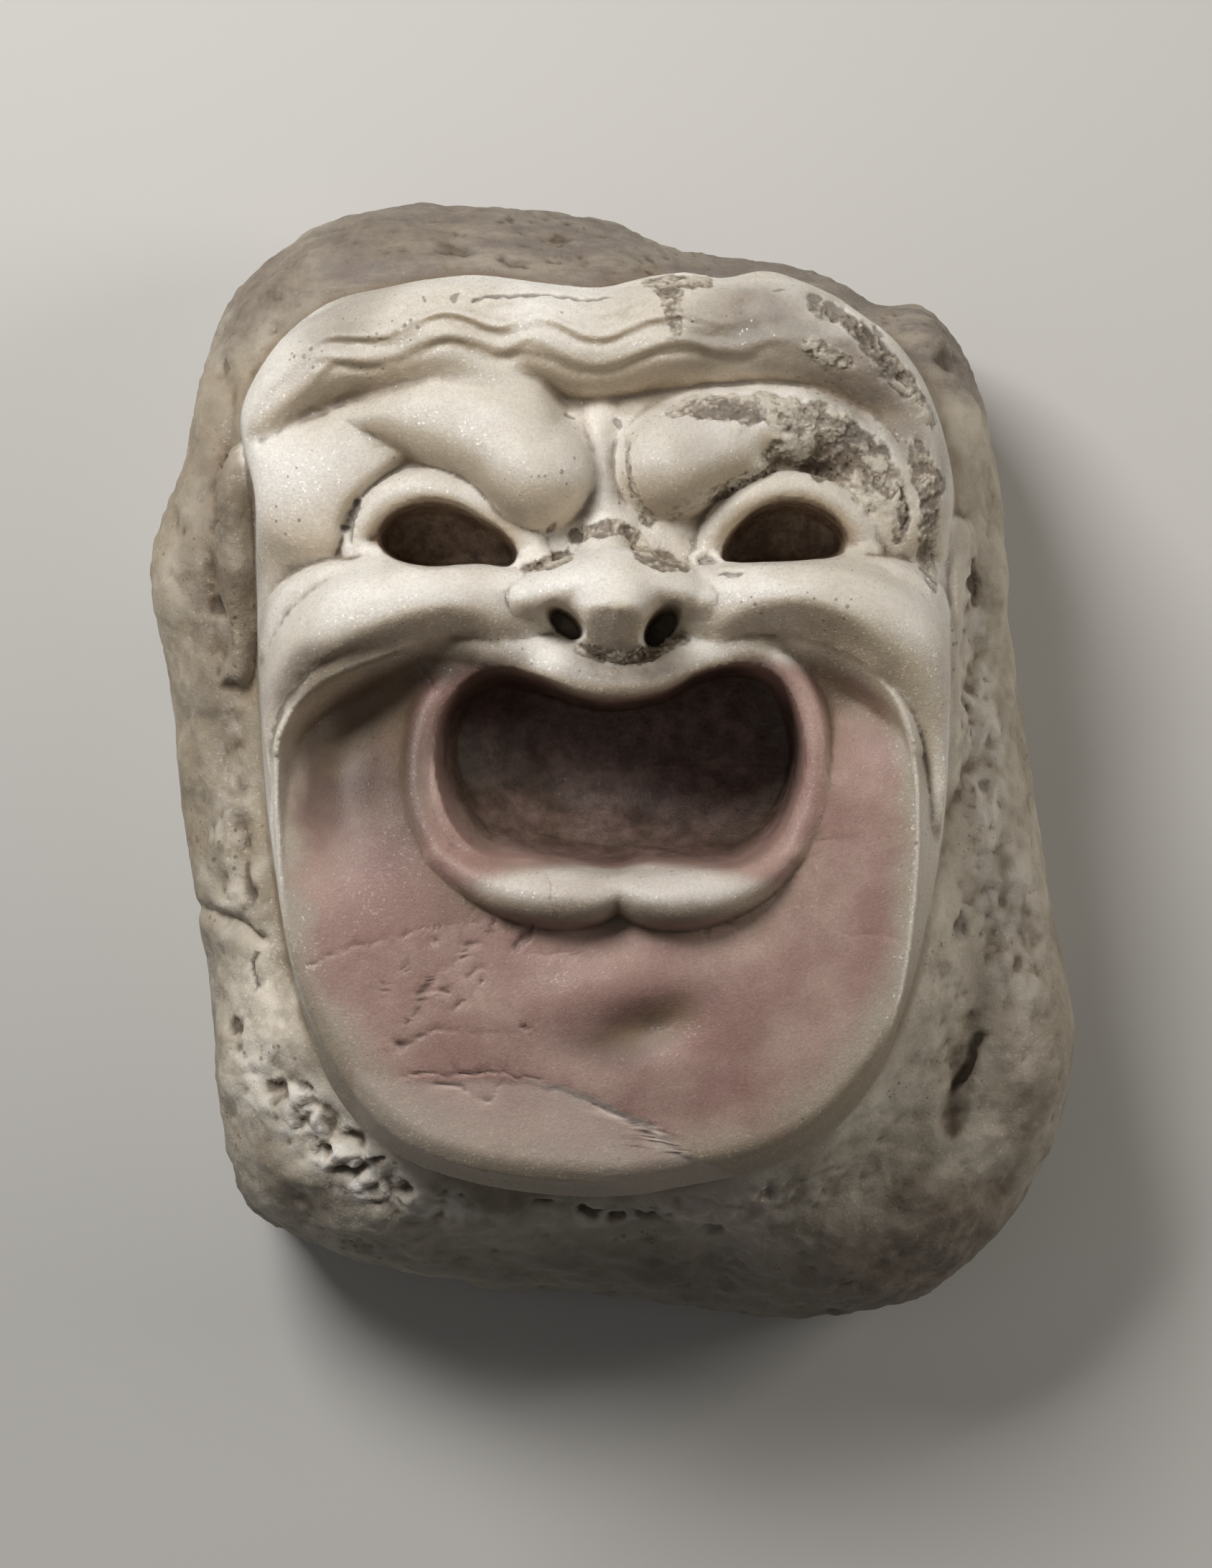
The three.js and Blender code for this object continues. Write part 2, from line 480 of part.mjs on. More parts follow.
// Where only the crossed corners of a square of the grid are stone, fills a third, so no two sheets share
// an edge
const FILLED = 0.02;
function settle(depth, [nx, ny, nz], at) {
  const planes = [[[1, 0, 0], [0, 1, 0]], [[0, 1, 0], [0, 0, 1]], [[0, 0, 1], [1, 0, 0]]];
  let changed = true;
  while (changed) {
    changed = false;
    for (let i = 0; i + 1 < nx; i++)
      for (let j = 0; j + 1 < ny; j++)
        for (let k = 1; k + 1 < nz; k++)
          for (const [u, v] of planes) {
            const corner = (m, n) => at(
              i + m * u[0] + n * v[0], j + m * u[1] + n * v[1], k + m * u[2] + n * v[2],
            );
            const [a, b, c, d] = [corner(0, 0), corner(1, 0), corner(1, 1), corner(0, 1)];
            if (depth[a] > 0 !== depth[c] > 0 || depth[b] > 0 !== depth[d] > 0
              || depth[a] > 0 === depth[b] > 0) continue;
            const [p, q] = depth[a] > 0 ? [b, d] : [a, c];
            depth[depth[p] > depth[q] ? p : q] = FILLED;
            changed = true;
          }
  }
}

// Pulls one vertex from each cell the surface crosses and joins them into squares
function surfaceOf() {
  const size = (range) => Math.ceil((range[1] - range[0]) / CELL) + 1;
  const [nx, ny, nz] = [size(BOX.x), size(BOX.y), size(BOX.z)];
  const depth = new Float32Array(nx * ny * nz);
  const at = (i, j, k) => (i * ny + j) * nz + k;
  for (let i = 0; i < nx; i++)
    for (let j = 0; j < ny; j++) {
      const column = columnAt(BOX.x[0] + i * CELL, BOX.y[0] + j * CELL);
      for (let k = 0; k < nz; k++) depth[at(i, j, k)] = k ? depthAt(column, BOX.z[0] + k * CELL) : -1;
    }
  settle(depth, [nx, ny, nz], at);
  const ids = new Int32Array(nx * ny * nz).fill(-1);
  const points = [];
  const corners = [0, 1, 2, 3, 4, 5, 6, 7].map((n) => [n & 1, (n >> 1) & 1, (n >> 2) & 1]);
  const edges = [];
  corners.forEach((a, m) =>
    corners.forEach((b, n) => {
      if (m < n && Math.abs(a[0] - b[0]) + Math.abs(a[1] - b[1])
        + Math.abs(a[2] - b[2]) === 1) edges.push([a, b]);
    }),
  );
  for (let i = 0; i + 1 < nx; i++)
    for (let j = 0; j + 1 < ny; j++)
      for (let k = 0; k + 1 < nz; k++) {
        let [sx, sy, sz, count] = [0, 0, 0, 0];
        for (const [a, b] of edges) {
          const da = depth[at(i + a[0], j + a[1], k + a[2])];
          const db = depth[at(i + b[0], j + b[1], k + b[2])];
          if (da > 0 === db > 0) continue;
          const t = da / (da - db);
          sx += a[0] + t * (b[0] - a[0]);
          sy += a[1] + t * (b[1] - a[1]);
          sz += a[2] + t * (b[2] - a[2]);
          count++;
        }
        if (!count) continue;
        ids[at(i, j, k)] = points.length;
        const height = k ? BOX.z[0] + CELL * (k + sz / count) : 0;
        points.push([BOX.x[0] + CELL * (i + sx / count), BOX.y[0] + CELL * (j + sy / count), height]);
      }
  const faces = [];
  const steps = [[1, 0, 0], [0, 1, 0], [0, 0, 1]];
  for (let i = 0; i + 1 < nx; i++)
    for (let j = 0; j + 1 < ny; j++)
      for (let k = 0; k + 1 < nz; k++)
        steps.forEach((step, axis) => {
          const inside = depth[at(i, j, k)] > 0;
          if (inside === depth[at(i + step[0], j + step[1], k + step[2])] > 0) return;
          const [u, v] = [steps[(axis + 1) % 3], steps[(axis + 2) % 3]];
          const cell = (m, n) => ids[at(
            i - m * u[0] - n * v[0], j - m * u[1] - n * v[1], k - m * u[2] - n * v[2],
          )];
          const square = [cell(0, 0), cell(1, 0), cell(1, 1), cell(0, 1)];
          if (!inside) square.reverse();
          const gap = (a, b) => Math.hypot(...points[square[a]].map((p, n) => p - points[square[b]][n]));
          const [a, b, c, d] = gap(0, 2) <= gap(1, 3) ? square : [...square.slice(1), square[0]];
          faces.push([a, b, c], [a, c, d]);
        });
  return { points, faces };
}

function faceNormal(a, b, c) {
  const [ux, uy, uz] = [b[0] - a[0], b[1] - a[1], b[2] - a[2]];
  const [vx, vy, vz] = [c[0] - a[0], c[1] - a[1], c[2] - a[2]];
  return [uy * vz - uz * vy, uz * vx - ux * vz, ux * vy - uy * vx];
}

// Moves the rough parts of the block in and out, and leaves the carved mask alone
const LUMP_SIZES = [[46, 4, 3], [21, 2.2, 8]]; // cell, height, seed
const BACK_BAND = 14; // where the lumps fade out towards the flat back
const BLOCK_GROOVES = [
  [[-160, -55, 3, 4], [-146, -60, 3.5, 6], [-134, -66, 3, 4]],
  [[-144, -20, 4, 2], [-140, -30, 5.5, 5.5], [-142, -42, 4, 3]],
  [[137, -97, 3.5, 3], [133, -116, 5, 5.5], [129, -138, 3.5, 3]],
  [[-149, 150, 5, 2], [-146, 135, 5, 5], [-150, 110, 5, 5], [-151, 80, 4, 5], [-149, 45, 4, 4],
   [-145, 28, 4, 1]],
  [[96, 178, 4, 2], [110, 165, 6, 5], [121, 150, 5, 4], [128, 128, 4, 2]],
]; // x, y, half width and depth of chisel cuts and ledges in the rough stone
const grooveLines = BLOCK_GROOVES.map(rollOf);
function roughen({ points, faces }) {
  const normals = points.map(() => [0, 0, 0]);
  for (const face of faces) {
    const n = faceNormal(...face.map((v) => points[v]));
    for (const v of face) n.forEach((value, axis) => (normals[v][axis] += value));
  }
  points.forEach((point, v) => {
    const [x, y, z] = point;
    const { mask, edge } = outlinesAt(x, y);
    const free = smooth(1, 12, mask + 0.4 * clamp(110 - z, 0, 60)) * smooth(0, BACK_BAND, z);
    const front = 1 - 0.6 * smooth(-6, 2, edge);
    const length = Math.hypot(...normals[v]) || 1;
    let height = LUMP_SIZES.reduce((sum, [cell, size, seed]) => sum + size * lumps(x, y, z, cell, seed), 0);
    for (const groove of grooveLines) {
      const { distance, values } = nearest(groove, x, y);
      height -= values[1] * Math.exp(-((distance / values[0]) ** 2));
    }
    normals[v].forEach((n, axis) => (point[axis] += (n / length) * height * free * front));
  });
}

// Joins the ends of edges, the least change first, until the mesh is down to a number of faces
function lighten({ points, faces }, target) {
  const around = points.map(() => new Set());
  faces.forEach((face, f) => face.forEach((v) => around[v].add(f)));
  const planes = points.map(() => new Float64Array(10));
  const addPlane = (v, [a, b, c], d, weight) => {
    const products = [a * a, a * b, a * c, a * d, b * b, b * c, b * d, c * c, c * d, d * d];
    products.forEach((q, i) => (planes[v][i] += q * weight));
  };
  for (const face of faces) {
    const n = faceNormal(...face.map((v) => points[v]));
    const area = Math.hypot(...n) || 1e-12;
    const unit = n.map((value) => value / area);
    const d = -unit.reduce((sum, value, axis) => sum + value * points[face[0]][axis], 0);
    for (const v of face) addPlane(v, unit, d, area);
  }
  const costAt = (q, [x, y, z]) =>
    q[0] * x * x + 2 * q[1] * x * y + 2 * q[2] * x * z + 2 * q[3] * x + q[4] * y * y + 2 * q[5] * y * z +
    2 * q[6] * y + q[7] * z * z + 2 * q[8] * z + q[9];
  const version = new Int32Array(points.length);
  const heap = [];
  const swap = (i, j) => ([heap[i], heap[j]] = [heap[j], heap[i]]);
  const push = (item) => {
    let i = heap.push(item) - 1;
    while (i && heap[(i - 1) >> 1].cost > heap[i].cost) {
      swap(i, (i - 1) >> 1);
      i = (i - 1) >> 1;
    }
  };
  const pop = () => {
    swap(0, heap.length - 1);
    const top = heap.pop();
    for (let i = 0; ; ) {
      const [l, r] = [2 * i + 1, 2 * i + 2];
      let least = i;
      if (l < heap.length && heap[l].cost < heap[least].cost) least = l;
      if (r < heap.length && heap[r].cost < heap[least].cost) least = r;
      if (least === i) return top;
      swap(i, least);
      i = least;
    }
  };
  const offer = (a, b) => {
    const q = planes[a].map((value, i) => value + planes[b][i]);
    const middle = points[a].map((value, axis) => (value + points[b][axis]) / 2);
    const places = [middle, [...points[a]], [...points[b]]];
    const det =
      q[0] * (q[4] * q[7] - q[5] * q[5]) - q[1] * (q[1] * q[7] - q[5] * q[2])
      + q[2] * (q[1] * q[5] - q[4] * q[2]);
    if (Math.abs(det) > 1e-3) {
      const [r0, r1, r2] = [-q[3], -q[6], -q[8]];
      const solved = [
        (r0 * (q[4] * q[7] - q[5] * q[5]) - q[1] * (r1 * q[7] - q[5] * r2)
          + q[2] * (r1 * q[5] - q[4] * r2)) / det,
        (q[0] * (r1 * q[7] - q[5] * r2) - r0 * (q[1] * q[7] - q[5] * q[2])
          + q[2] * (q[1] * r2 - r1 * q[2])) / det,
        (q[0] * (q[4] * r2 - r1 * q[5]) - q[1] * (q[1] * r2 - r1 * q[2])
          + r0 * (q[1] * q[5] - q[4] * q[2])) / det,
      ];
      const near = Math.hypot(...solved.map((value, axis) => value - middle[axis])) < 2 * CELL;
      if (near && solved[2] > 0) places.unshift(solved);
    }
    // What touches the flat back stays in its plane
    if (points[a][2] === 0 || points[b][2] === 0) places.forEach((place) => (place[2] = 0));
    const costs = places.map((place) => Math.max(costAt(q, place), 0));
    const cost = Math.min(...costs);
    push({ cost, a, b, place: places[costs.indexOf(cost)], stamp: version[a] + version[b] });
  };
  const neighbours = (v) => new Set([...around[v]].flatMap((f) => faces[f]).filter((w) => w !== v));
  points.forEach((_, v) => neighbours(v).forEach((w) => v < w && offer(v, w)));
  let alive = faces.length;
  while (alive > target && heap.length) {
    const { a, b, place, stamp } = pop();
    if (!around[a].size || !around[b].size || stamp !== version[a] + version[b]) continue;
    const near = neighbours(a);
    const shared = [...neighbours(b)].filter((v) => near.has(v));
    const both = [...around[a]].filter((f) => around[b].has(f));
    if (shared.length !== 2 || both.length !== 2) continue;
    const turned = [...around[a], ...around[b]].some((f) => {
      if (both.includes(f)) return false;
      const before = faceNormal(...faces[f].map((v) => points[v]));
      const after = faceNormal(...faces[f].map((v) => (v === a || v === b ? place : points[v])));
      const dot = before.reduce((sum, value, axis) => sum + value * after[axis], 0);
      return dot < 0.25 * Math.hypot(...before) * Math.hypot(...after) || Math.hypot(...after) < 0.05;
    });
    if (turned) continue;
    points[a] = place;
    planes[a] = planes[a].map((value, i) => value + planes[b][i]);
    for (const f of both) {
      faces[f].forEach((v) => around[v].delete(f));
      faces[f] = null;
      alive--;
    }
    for (const f of around[b]) {
      faces[f] = faces[f].map((v) => (v === b ? a : v));
      around[a].add(f);
    }
    around[b].clear();
    version[a]++;
    neighbours(a).forEach((v) => offer(a, v));
  }
  return { points, faces: faces.filter(Boolean) };
}

function meshOf(name, { points, faces }, material) {
  const used = new Map();
  faces.flat().forEach((v) => used.has(v) || used.set(v, used.size));
  const positions = new Float32Array([...used.keys()].flatMap((v) => points[v]));
  const geometry = new THREE.BufferGeometry();
  geometry.setAttribute("position", new THREE.BufferAttribute(positions, 3));
  geometry.setIndex(faces.flat().map((v) => used.get(v)));
  geometry.computeVertexNormals();
  const mesh = new THREE.Mesh(geometry, material);
  mesh.name = name;
  return mesh;
}

const surface = surfaceOf();
roughen(surface);

const marble = new THREE.MeshStandardMaterial({
  name: "white marble", color: 0xcfc6ba, roughness: 0.55, metalness: 0,
});
const object = new THREE.Group();
object.name = "marble_comedy_mask";
object.add(meshOf("marble_mask", lighten(surface, FACE_TARGET), marble));
export default object;
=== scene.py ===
"""A marble comedy mask carved from the front of a rough block, lying on its flat back."""
import math

import bpy
import numpy as np
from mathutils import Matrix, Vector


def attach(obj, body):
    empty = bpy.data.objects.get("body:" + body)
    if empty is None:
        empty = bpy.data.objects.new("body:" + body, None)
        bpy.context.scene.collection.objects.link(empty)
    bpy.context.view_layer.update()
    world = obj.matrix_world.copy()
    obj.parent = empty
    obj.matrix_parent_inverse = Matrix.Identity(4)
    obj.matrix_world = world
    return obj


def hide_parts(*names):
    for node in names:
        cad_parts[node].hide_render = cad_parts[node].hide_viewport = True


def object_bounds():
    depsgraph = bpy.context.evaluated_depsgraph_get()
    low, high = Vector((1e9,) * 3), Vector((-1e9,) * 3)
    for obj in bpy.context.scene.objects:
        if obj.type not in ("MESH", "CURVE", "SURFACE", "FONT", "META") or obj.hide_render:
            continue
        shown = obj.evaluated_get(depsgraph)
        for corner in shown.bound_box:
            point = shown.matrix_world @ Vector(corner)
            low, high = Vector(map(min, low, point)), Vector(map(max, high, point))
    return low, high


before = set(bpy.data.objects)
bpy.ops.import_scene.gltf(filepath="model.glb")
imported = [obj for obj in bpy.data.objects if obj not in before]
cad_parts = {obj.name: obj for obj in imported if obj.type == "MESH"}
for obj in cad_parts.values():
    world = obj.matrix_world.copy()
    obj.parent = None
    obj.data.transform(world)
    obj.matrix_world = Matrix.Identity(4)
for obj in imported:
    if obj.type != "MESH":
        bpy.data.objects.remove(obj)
cad_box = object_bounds()

# Camera and image: the view looks straight down at the face, with the top of the head upwards
CAMERA_PLACE = (-0.0019, -0.0069, 1.75)
CAMERA_LENS = 97.7
IMAGE_SENSOR = 36.0

camera_data = bpy.data.cameras.new("camera")
camera_data.lens = CAMERA_LENS
camera_data.sensor_width = IMAGE_SENSOR
camera_data.clip_start = 0.05
camera_data.clip_end = 20.0
camera = bpy.data.objects.new("camera", camera_data)
camera.location = CAMERA_PLACE
bpy.context.scene.collection.objects.link(camera)
bpy.context.scene.camera = camera

# Forms of the mask and of the block, in millimetres
# Columns of the tables, in millimetres and degrees:
# - outlines and lines: x, y
# - rolls, such as the hair, lids and nose: x, y, half width, height of the crown, fall to the side
# - folds, such as the brows and cheeks: x, y, crown, half width and fall on the left, the same on the right
# - temples and brow balls: x, y, half length, half width, turn, crown, fall
# - sockets, hollows and chin forms: x, y, half length, half width, turn, height
# - nostrils: x, y, half length, half width, turn
# - furrows and grooves: x, y, half width, depth
# - waves of the hair: x, shift; lumps of the block: size, height, seed
BLOCK_FRONT = 122
BLOCK_WAIST = 60
BLOCK_BACK_INSET = 9
FACE_HEIGHT = 178
FACE_FALL = 30
HALF_FACE = 130
FUNNEL_HEIGHT = 185
RIM_HEIGHT = 189
MOUTH_FLOOR = 116
EYE_FLOOR = 138
NOSTRIL_FLOOR = 170
SIDE_DRAFT = 0.1
CHIN_UNDERCUT = 0.3
JOINT_FILLET = 4
BLOCK_OUTLINE = [
    [-140, 196], [-112, 214], [-75, 222], [-10, 218], [32, 204], [78, 197], [105, 184], [128, 179],
    [145, 148], [152, 105], [158, 45], [166, -8], [172, -50], [180, -105], [174, -150], [155, -185],
    [118, -214], [70, -221], [15, -214], [-55, -207], [-105, -197], [-145, -178], [-152, -135], [-160, -65],
    [-168, -10], [-173, 40], [-180, 78], [-168, 120], [-158, 165],
]
HEAD_OUTLINE = [
    [-138, 120], [-138, 137], [-125, 159], [-106, 174], [-85, 179.5], [-65, 183], [-48, 184], [-24, 181],
    [-4, 179.5], [14, 183.5], [28, 185], [41, 183], [55, 185.5], [66, 184], [82, 177], [94, 169],
    [105, 161], [115.5, 148], [122, 134], [126, 120], [128.5, 104], [127.5, 80], [127, 30], [125.5, -15],
    [119, -58], [109, -94], [93, -123], [72, -143], [45, -154], [5, -161], [-40, -158], [-76, -147],
    [-99, -127], [-115, -94], [-124, -50], [-129, -15], [-132, 30], [-133, 70], [-134, 100],
]
RIM_OUTLINE = [
    [-123, 0], [-119.5, 16], [-111, 27], [-98, 35], [-72, 44], [-55, 48], [-38, 44.5], [-20, 37], [0, 32],
    [16, 34], [30, 41], [50, 48], [70, 46.5], [92, 37], [106, 21], [112, 2], [113.5, -25], [111, -60],
    [105, -92], [92, -118], [72, -138], [45, -149], [5, -156], [-40, -153], [-75, -142], [-96, -122],
    [-112, -90], [-121, -50],
]
MOUTH_OUTLINE = [
    [-66, 2], [-63, 20], [-54, 32], [-42, 36], [-28, 33], [-14, 27], [0, 24], [18, 27], [32, 34],
    [47, 37.5], [60, 34], [68, 23], [71.5, 5], [69, -12], [61, -28], [48, -37], [30, -37.5], [14, -37],
    [2, -39.5], [-12, -38], [-30, -35.5], [-48, -33], [-60, -20],
]
LEFT_EYE = [
    [-87.5, 85], [-83, 93], [-72, 98], [-60, 97.5], [-48, 92], [-39, 86], [-34.5, 79], [-38, 73.5],
    [-50, 74.5], [-68, 73.5], [-82, 77],
]
RIGHT_EYE = [
    [40.5, 78.5], [45, 88], [54, 95.5], [66, 98.8], [79, 95.5], [87, 88], [87.5, 81], [83, 77], [66, 75.5],
    [45, 75],
]
FURROWS = [
    [[-129, 121, 4, 4], [-107, 133, 4.5, 6], [-87, 138, 4.5, 6], [-68, 142, 4.5, 5], [-50, 141, 4.5, 3.5],
     [-28, 136, 5, 2.8], [-10, 134, 5, 2.8], [8, 137, 5, 2.6], [25, 143, 5, 2.2], [45, 143, 5, 2],
     [62, 140, 5, 1.8], [80, 139, 4.5, 1.5], [98, 131, 4, 1.2]],
    [[46, 132, 6, 0.5], [52, 122, 6, 2.5], [58, 113, 5.5, 5], [67, 106, 5, 4.5]],
]
HAIR = [
    [-132, 106, 10, 160, 16], [-130, 121, 14, 168, 20], [-121, 137, 16, 174, 22], [-106, 149, 18, 181, 24],
    [-87, 157, 19.5, 186, 26], [-62, 161, 20, 190, 27], [-35, 160, 21, 192, 28], [-8, 156, 21, 192, 28],
    [18, 159, 21, 191, 28], [45, 161, 21, 190, 27], [70, 160, 21, 187, 26], [92, 151, 20, 181, 25],
    [108, 137, 17, 173, 24], [117, 120, 12, 165, 22], [121, 100, 8, 158, 18], [123, 80, 5, 151, 14],
]
WAVES = [
    [-135, 3], [-126, 4.5], [-116, 2.5], [-106, 5], [-82, -4], [-60, 2.5], [-43, -2.6], [-28, 3.6],
    [-3, -2.2], [24, 3.2], [43, -1.5], [62, 2], [82, -1], [105, 1.5],
]
SIDE_LOCKS = [
    [[-139, 112, 9, 152, 14], [-142.5, 92, 9.5, 146, 16], [-143, 70, 9.5, 140, 16], [-143, 50, 9, 135, 16],
     [-143.5, 36, 7.5, 130, 14]],
    [[128, 88, 7, 146, 14], [130, 60, 7.5, 142, 14], [130, 30, 7, 138, 14], [128.5, 0, 6, 134, 12],
     [126, -14, 4, 130, 10]],
]
BROW_GAP = [[-4, 138, 7, 173, 9], [-4.5, 118, 6, 177, 9], [-3.5, 100, 7, 178, 9], [-1, 88, 12, 182, 12]]
UPPER_LIDS = [
    [[-96, 79, 4, 169, 6], [-93, 88, 5.5, 174, 8], [-87, 95.5, 6.5, 177, 9], [-77, 101, 7.5, 180, 10],
     [-66, 102, 8, 182, 10], [-54, 98.5, 7.5, 183, 10], [-43, 91.5, 7, 182, 9], [-30, 82, 6.5, 179, 8]],
    [[34, 77, 5, 176, 8], [38.5, 88, 5.5, 179, 9], [46, 95.5, 6.5, 181, 9], [56, 100.5, 7, 182, 10],
     [67, 102.5, 7, 181, 10], [79, 99.5, 6.5, 179, 9], [88.5, 92.5, 6.5, 175, 9], [93.5, 85, 6, 172, 9],
     [96, 77, 5, 170, 8]],
]
LOWER_LIDS = [
    [[-95, 80, 5, 171, 5], [-80, 76, 4.5, 177, 5], [-60, 73.5, 4, 181, 5], [-40, 72.5, 4, 183, 5],
     [-27, 76, 5.5, 181, 6]],
    [[33, 75, 5, 179, 7], [52, 74, 4, 182, 6], [70, 74.5, 4, 183, 6], [86, 76, 4.5, 179, 6],
     [97, 79, 4.5, 171, 6]],
]
SMILE_FOLDS = [
    [[-86, 71.5, 5, 178, 6], [-104, 69, 6, 178, 8], [-117, 60, 8, 172, 9], [-126, 44, 7, 163, 8]],
    [[92, 71, 6, 181, 7], [104, 68.5, 7, 181, 9], [115, 60, 8, 175, 10], [122, 46, 7, 165, 9]],
]
NOSE = [
    [-3, 87, 7, 183, 12], [-2.5, 79, 10, 196, 20], [-1, 72, 14.5, 207, 26], [0.5, 65, 17.5, 216, 31],
    [1.2, 59, 18, 222.5, 35], [1.5, 54.5, 16.5, 224, 38],
]
NOSE_WINGS = [
    [-31, 61, 8.5, 203, 20], [-24, 62.5, 10, 208, 24], [-11, 65, 12, 212, 28], [1, 67, 13, 214, 30],
    [13, 65.5, 12, 212, 28], [25, 63, 10.5, 208, 24], [32, 60.5, 8.5, 203, 20],
]
LOWER_LIP = [
    [-63, -33, 6, 188, 9], [-51, -41, 8, 194, 14], [-37, -46, 10.5, 200, 18], [-21, -48.5, 11.5, 203.5, 20],
    [-8, -48.5, 10.5, 202.5, 19], [2.5, -46, 8.5, 200, 16], [13, -48.5, 10.5, 203, 19],
    [26, -49, 11.5, 204, 20], [41, -46.5, 10.5, 201, 18], [55, -41, 8.2, 195, 14], [66, -32, 6, 189, 10],
]
MOUTH_CORNERS = [
    [[-63, -33, 6, 188, 9], [-71, -15, 5.2, 185, 6], [-71.5, 5, 5, 181, 5], [-66.5, 22, 5, 178, 5],
     [-57, 33, 5, 178, 5], [-46, 38, 4, 179, 5]],
    [[66, -32, 6, 189, 9], [73.5, -15, 5.2, 187, 7], [75.5, 5, 5, 186, 6], [72, 24, 5, 185, 6],
     [62, 38, 4.5, 185, 6], [50, 43, 4, 185, 6]],
]
LEFT_BROW = [
    [-102, 133, 172, 16, 3, 4, 4], [-86, 131, 181, 22, 4, 8, 8], [-67, 127, 189, 27, 6, 14, 16],
    [-50, 121, 194, 28, 9, 16, 22], [-38, 114, 197, 26, 13, 17, 24], [-30, 109, 196, 22, 18, 18, 25],
]
RIGHT_BROW = [
    [22, 110, 194, 20, 21, 17, 22], [33, 116, 194, 21, 19, 17, 20], [47, 120, 192, 20, 17, 15, 17],
    [60, 124, 188, 17, 13, 14, 14], [76, 125, 182, 14, 10, 13, 11], [92, 118, 174, 12, 8, 13, 8],
    [104, 105, 165, 10, 8, 12, 7],
]
LEFT_CHEEK = [
    [-34, 62, 197, 17, 14, 10, 14], [-55, 61, 202, 17, 17, 12, 11], [-74, 58.5, 204, 18, 21, 14, 11],
    [-92, 52, 203, 20, 26, 16, 13], [-106, 42, 198, 21, 30, 15, 15], [-115, 27, 190, 18, 30, 13, 16],
    [-121.5, 8, 181, 11, 22, 9, 12], [-125, -14, 176, 7, 16, 6, 12], [-126.5, -40, 170, 5, 12, 5, 12],
]
RIGHT_CHEEK = [
    [36, 63, 199, 10, 14, 18, 15], [57, 61.5, 204, 12, 12, 19, 17], [76, 59.5, 207, 14, 12, 20, 22],
    [94, 53, 205, 16, 14, 22, 27], [107, 43, 199, 16, 17, 21, 31], [115, 28, 191, 13, 18, 18, 32],
    [119.5, 8, 181, 8, 14, 11, 22], [121, -14, 175, 7, 12, 7, 18], [120.5, -40, 168, 5, 12, 5, 16],
]
UPPER_LIP = [
    [-74, 46, 178, 6, 3, 6, 5], [-54, 46.5, 186, 8, 4, 8, 8], [-35, 41.5, 191, 9, 6, 10, 12],
    [-16, 34.5, 197, 8, 6, 10, 15], [2, 31.5, 199, 7, 7, 10, 17], [19, 34, 197, 8, 6, 10, 15],
    [37, 41.5, 191, 9, 6, 10, 12], [56, 46, 186, 8, 4, 8, 8], [74, 45, 178, 6, 3, 6, 5],
]
TEMPLES = [[-102, 110, 37, 29, 38, 177, 15], [98, 104, 28, 30, -30, 171, 13]]
BROW_BALLS = [[-28, 107, 21, 20, 0, 199, 26], [23, 112, 20, 20, 0, 197, 26]]
EYE_SOCKETS = [[-60, 84, 34, 20, 0, -6], [66, 84, 32, 20, 0, -5]]
FUNNEL_HOLLOWS = [[-86, 24, 32, 24, 0, -18], [-101, -2, 20, 36, 8, -14], [84, 26, 24, 22, 0, -12]]
CHIN_FORMS = [
    [-6, -84, 26, 13, 10, 5], [14, -96, 19, 9, 20, -6.5], [48, -84, 26, 22, 0, 2.5],
    [4, -112, 30, 12, 0, 2],
]
NOSTRILS = [[-17, 52, 8.5, 4.6, -42], [18.5, 50.5, 9.5, 5.4, 50]]
LID_CREASE = [[-100, 80], [-98, 91], [-92, 99.5], [-82, 108], [-71, 113.5], [-56, 112]]
HAIR_CENTRE = [-5, 20]
STRAND_STEP = 9.6
STRAND_DEPTH = 2.1
HEAD_ROUNDING = 7
BANK_WIDTH = 34
FILLED = 0.02
LUMP_SIZES = [[46, 4, 3], [21, 2.2, 8]]
BACK_BAND = 14
BLOCK_GROOVES = [
    [[-160, -55, 3, 4], [-146, -60, 3.5, 6], [-134, -66, 3, 4]],
    [[-144, -20, 4, 2], [-140, -30, 5.5, 5.5], [-142, -42, 4, 3]],
    [[137, -97, 3.5, 3], [133, -116, 5, 5.5], [129, -138, 3.5, 3]],
    [[-149, 150, 5, 2], [-146, 135, 5, 5], [-150, 110, 5, 5], [-151, 80, 4, 5], [-149, 45, 4, 4],
     [-145, 28, 4, 1]],
    [[96, 178, 4, 2], [110, 165, 6, 5], [121, 150, 5, 4], [128, 128, 4, 2]],
]

ROLL_STEPS = 6
LOOP_STEPS = 4
FAR_BELOW = -400.0
ROLL_MARGIN = 34


def soft_max(a, b, k):
    h = np.clip(0.5 + 0.5 * (a - b) / k, 0, 1)
    return b + (a - b) * h + k * h * (1 - h)


def soft_min(a, b, k):
    return -soft_max(-a, -b, k)


def smooth(low, high, v):
    t = np.clip((v - low) / (high - low), 0, 1)
    return t * t * (3 - 2 * t)


def curve(rows, closed, steps):
    """a smooth curve through rows of numbers, as short straight steps"""
    p = np.array(rows, float)
    n = len(p)
    at = (lambda i: p[i % n]) if closed else (lambda i: p[min(max(i, 0), n - 1)])
    line = []
    for i in range(n if closed else n - 1):
        a, b, c, d = at(i - 1), at(i), at(i + 1), at(i + 2)
        for s in range(steps):
            t = s / steps
            square = 2 * a - 5 * b + 4 * c - d
            cube = 3 * b - a - 3 * c + d
            line.append(0.5 * (2 * b + (c - a) * t + square * t * t + cube * t * t * t))
    line.append(line[0] if closed else p[-1])
    return np.array(line)


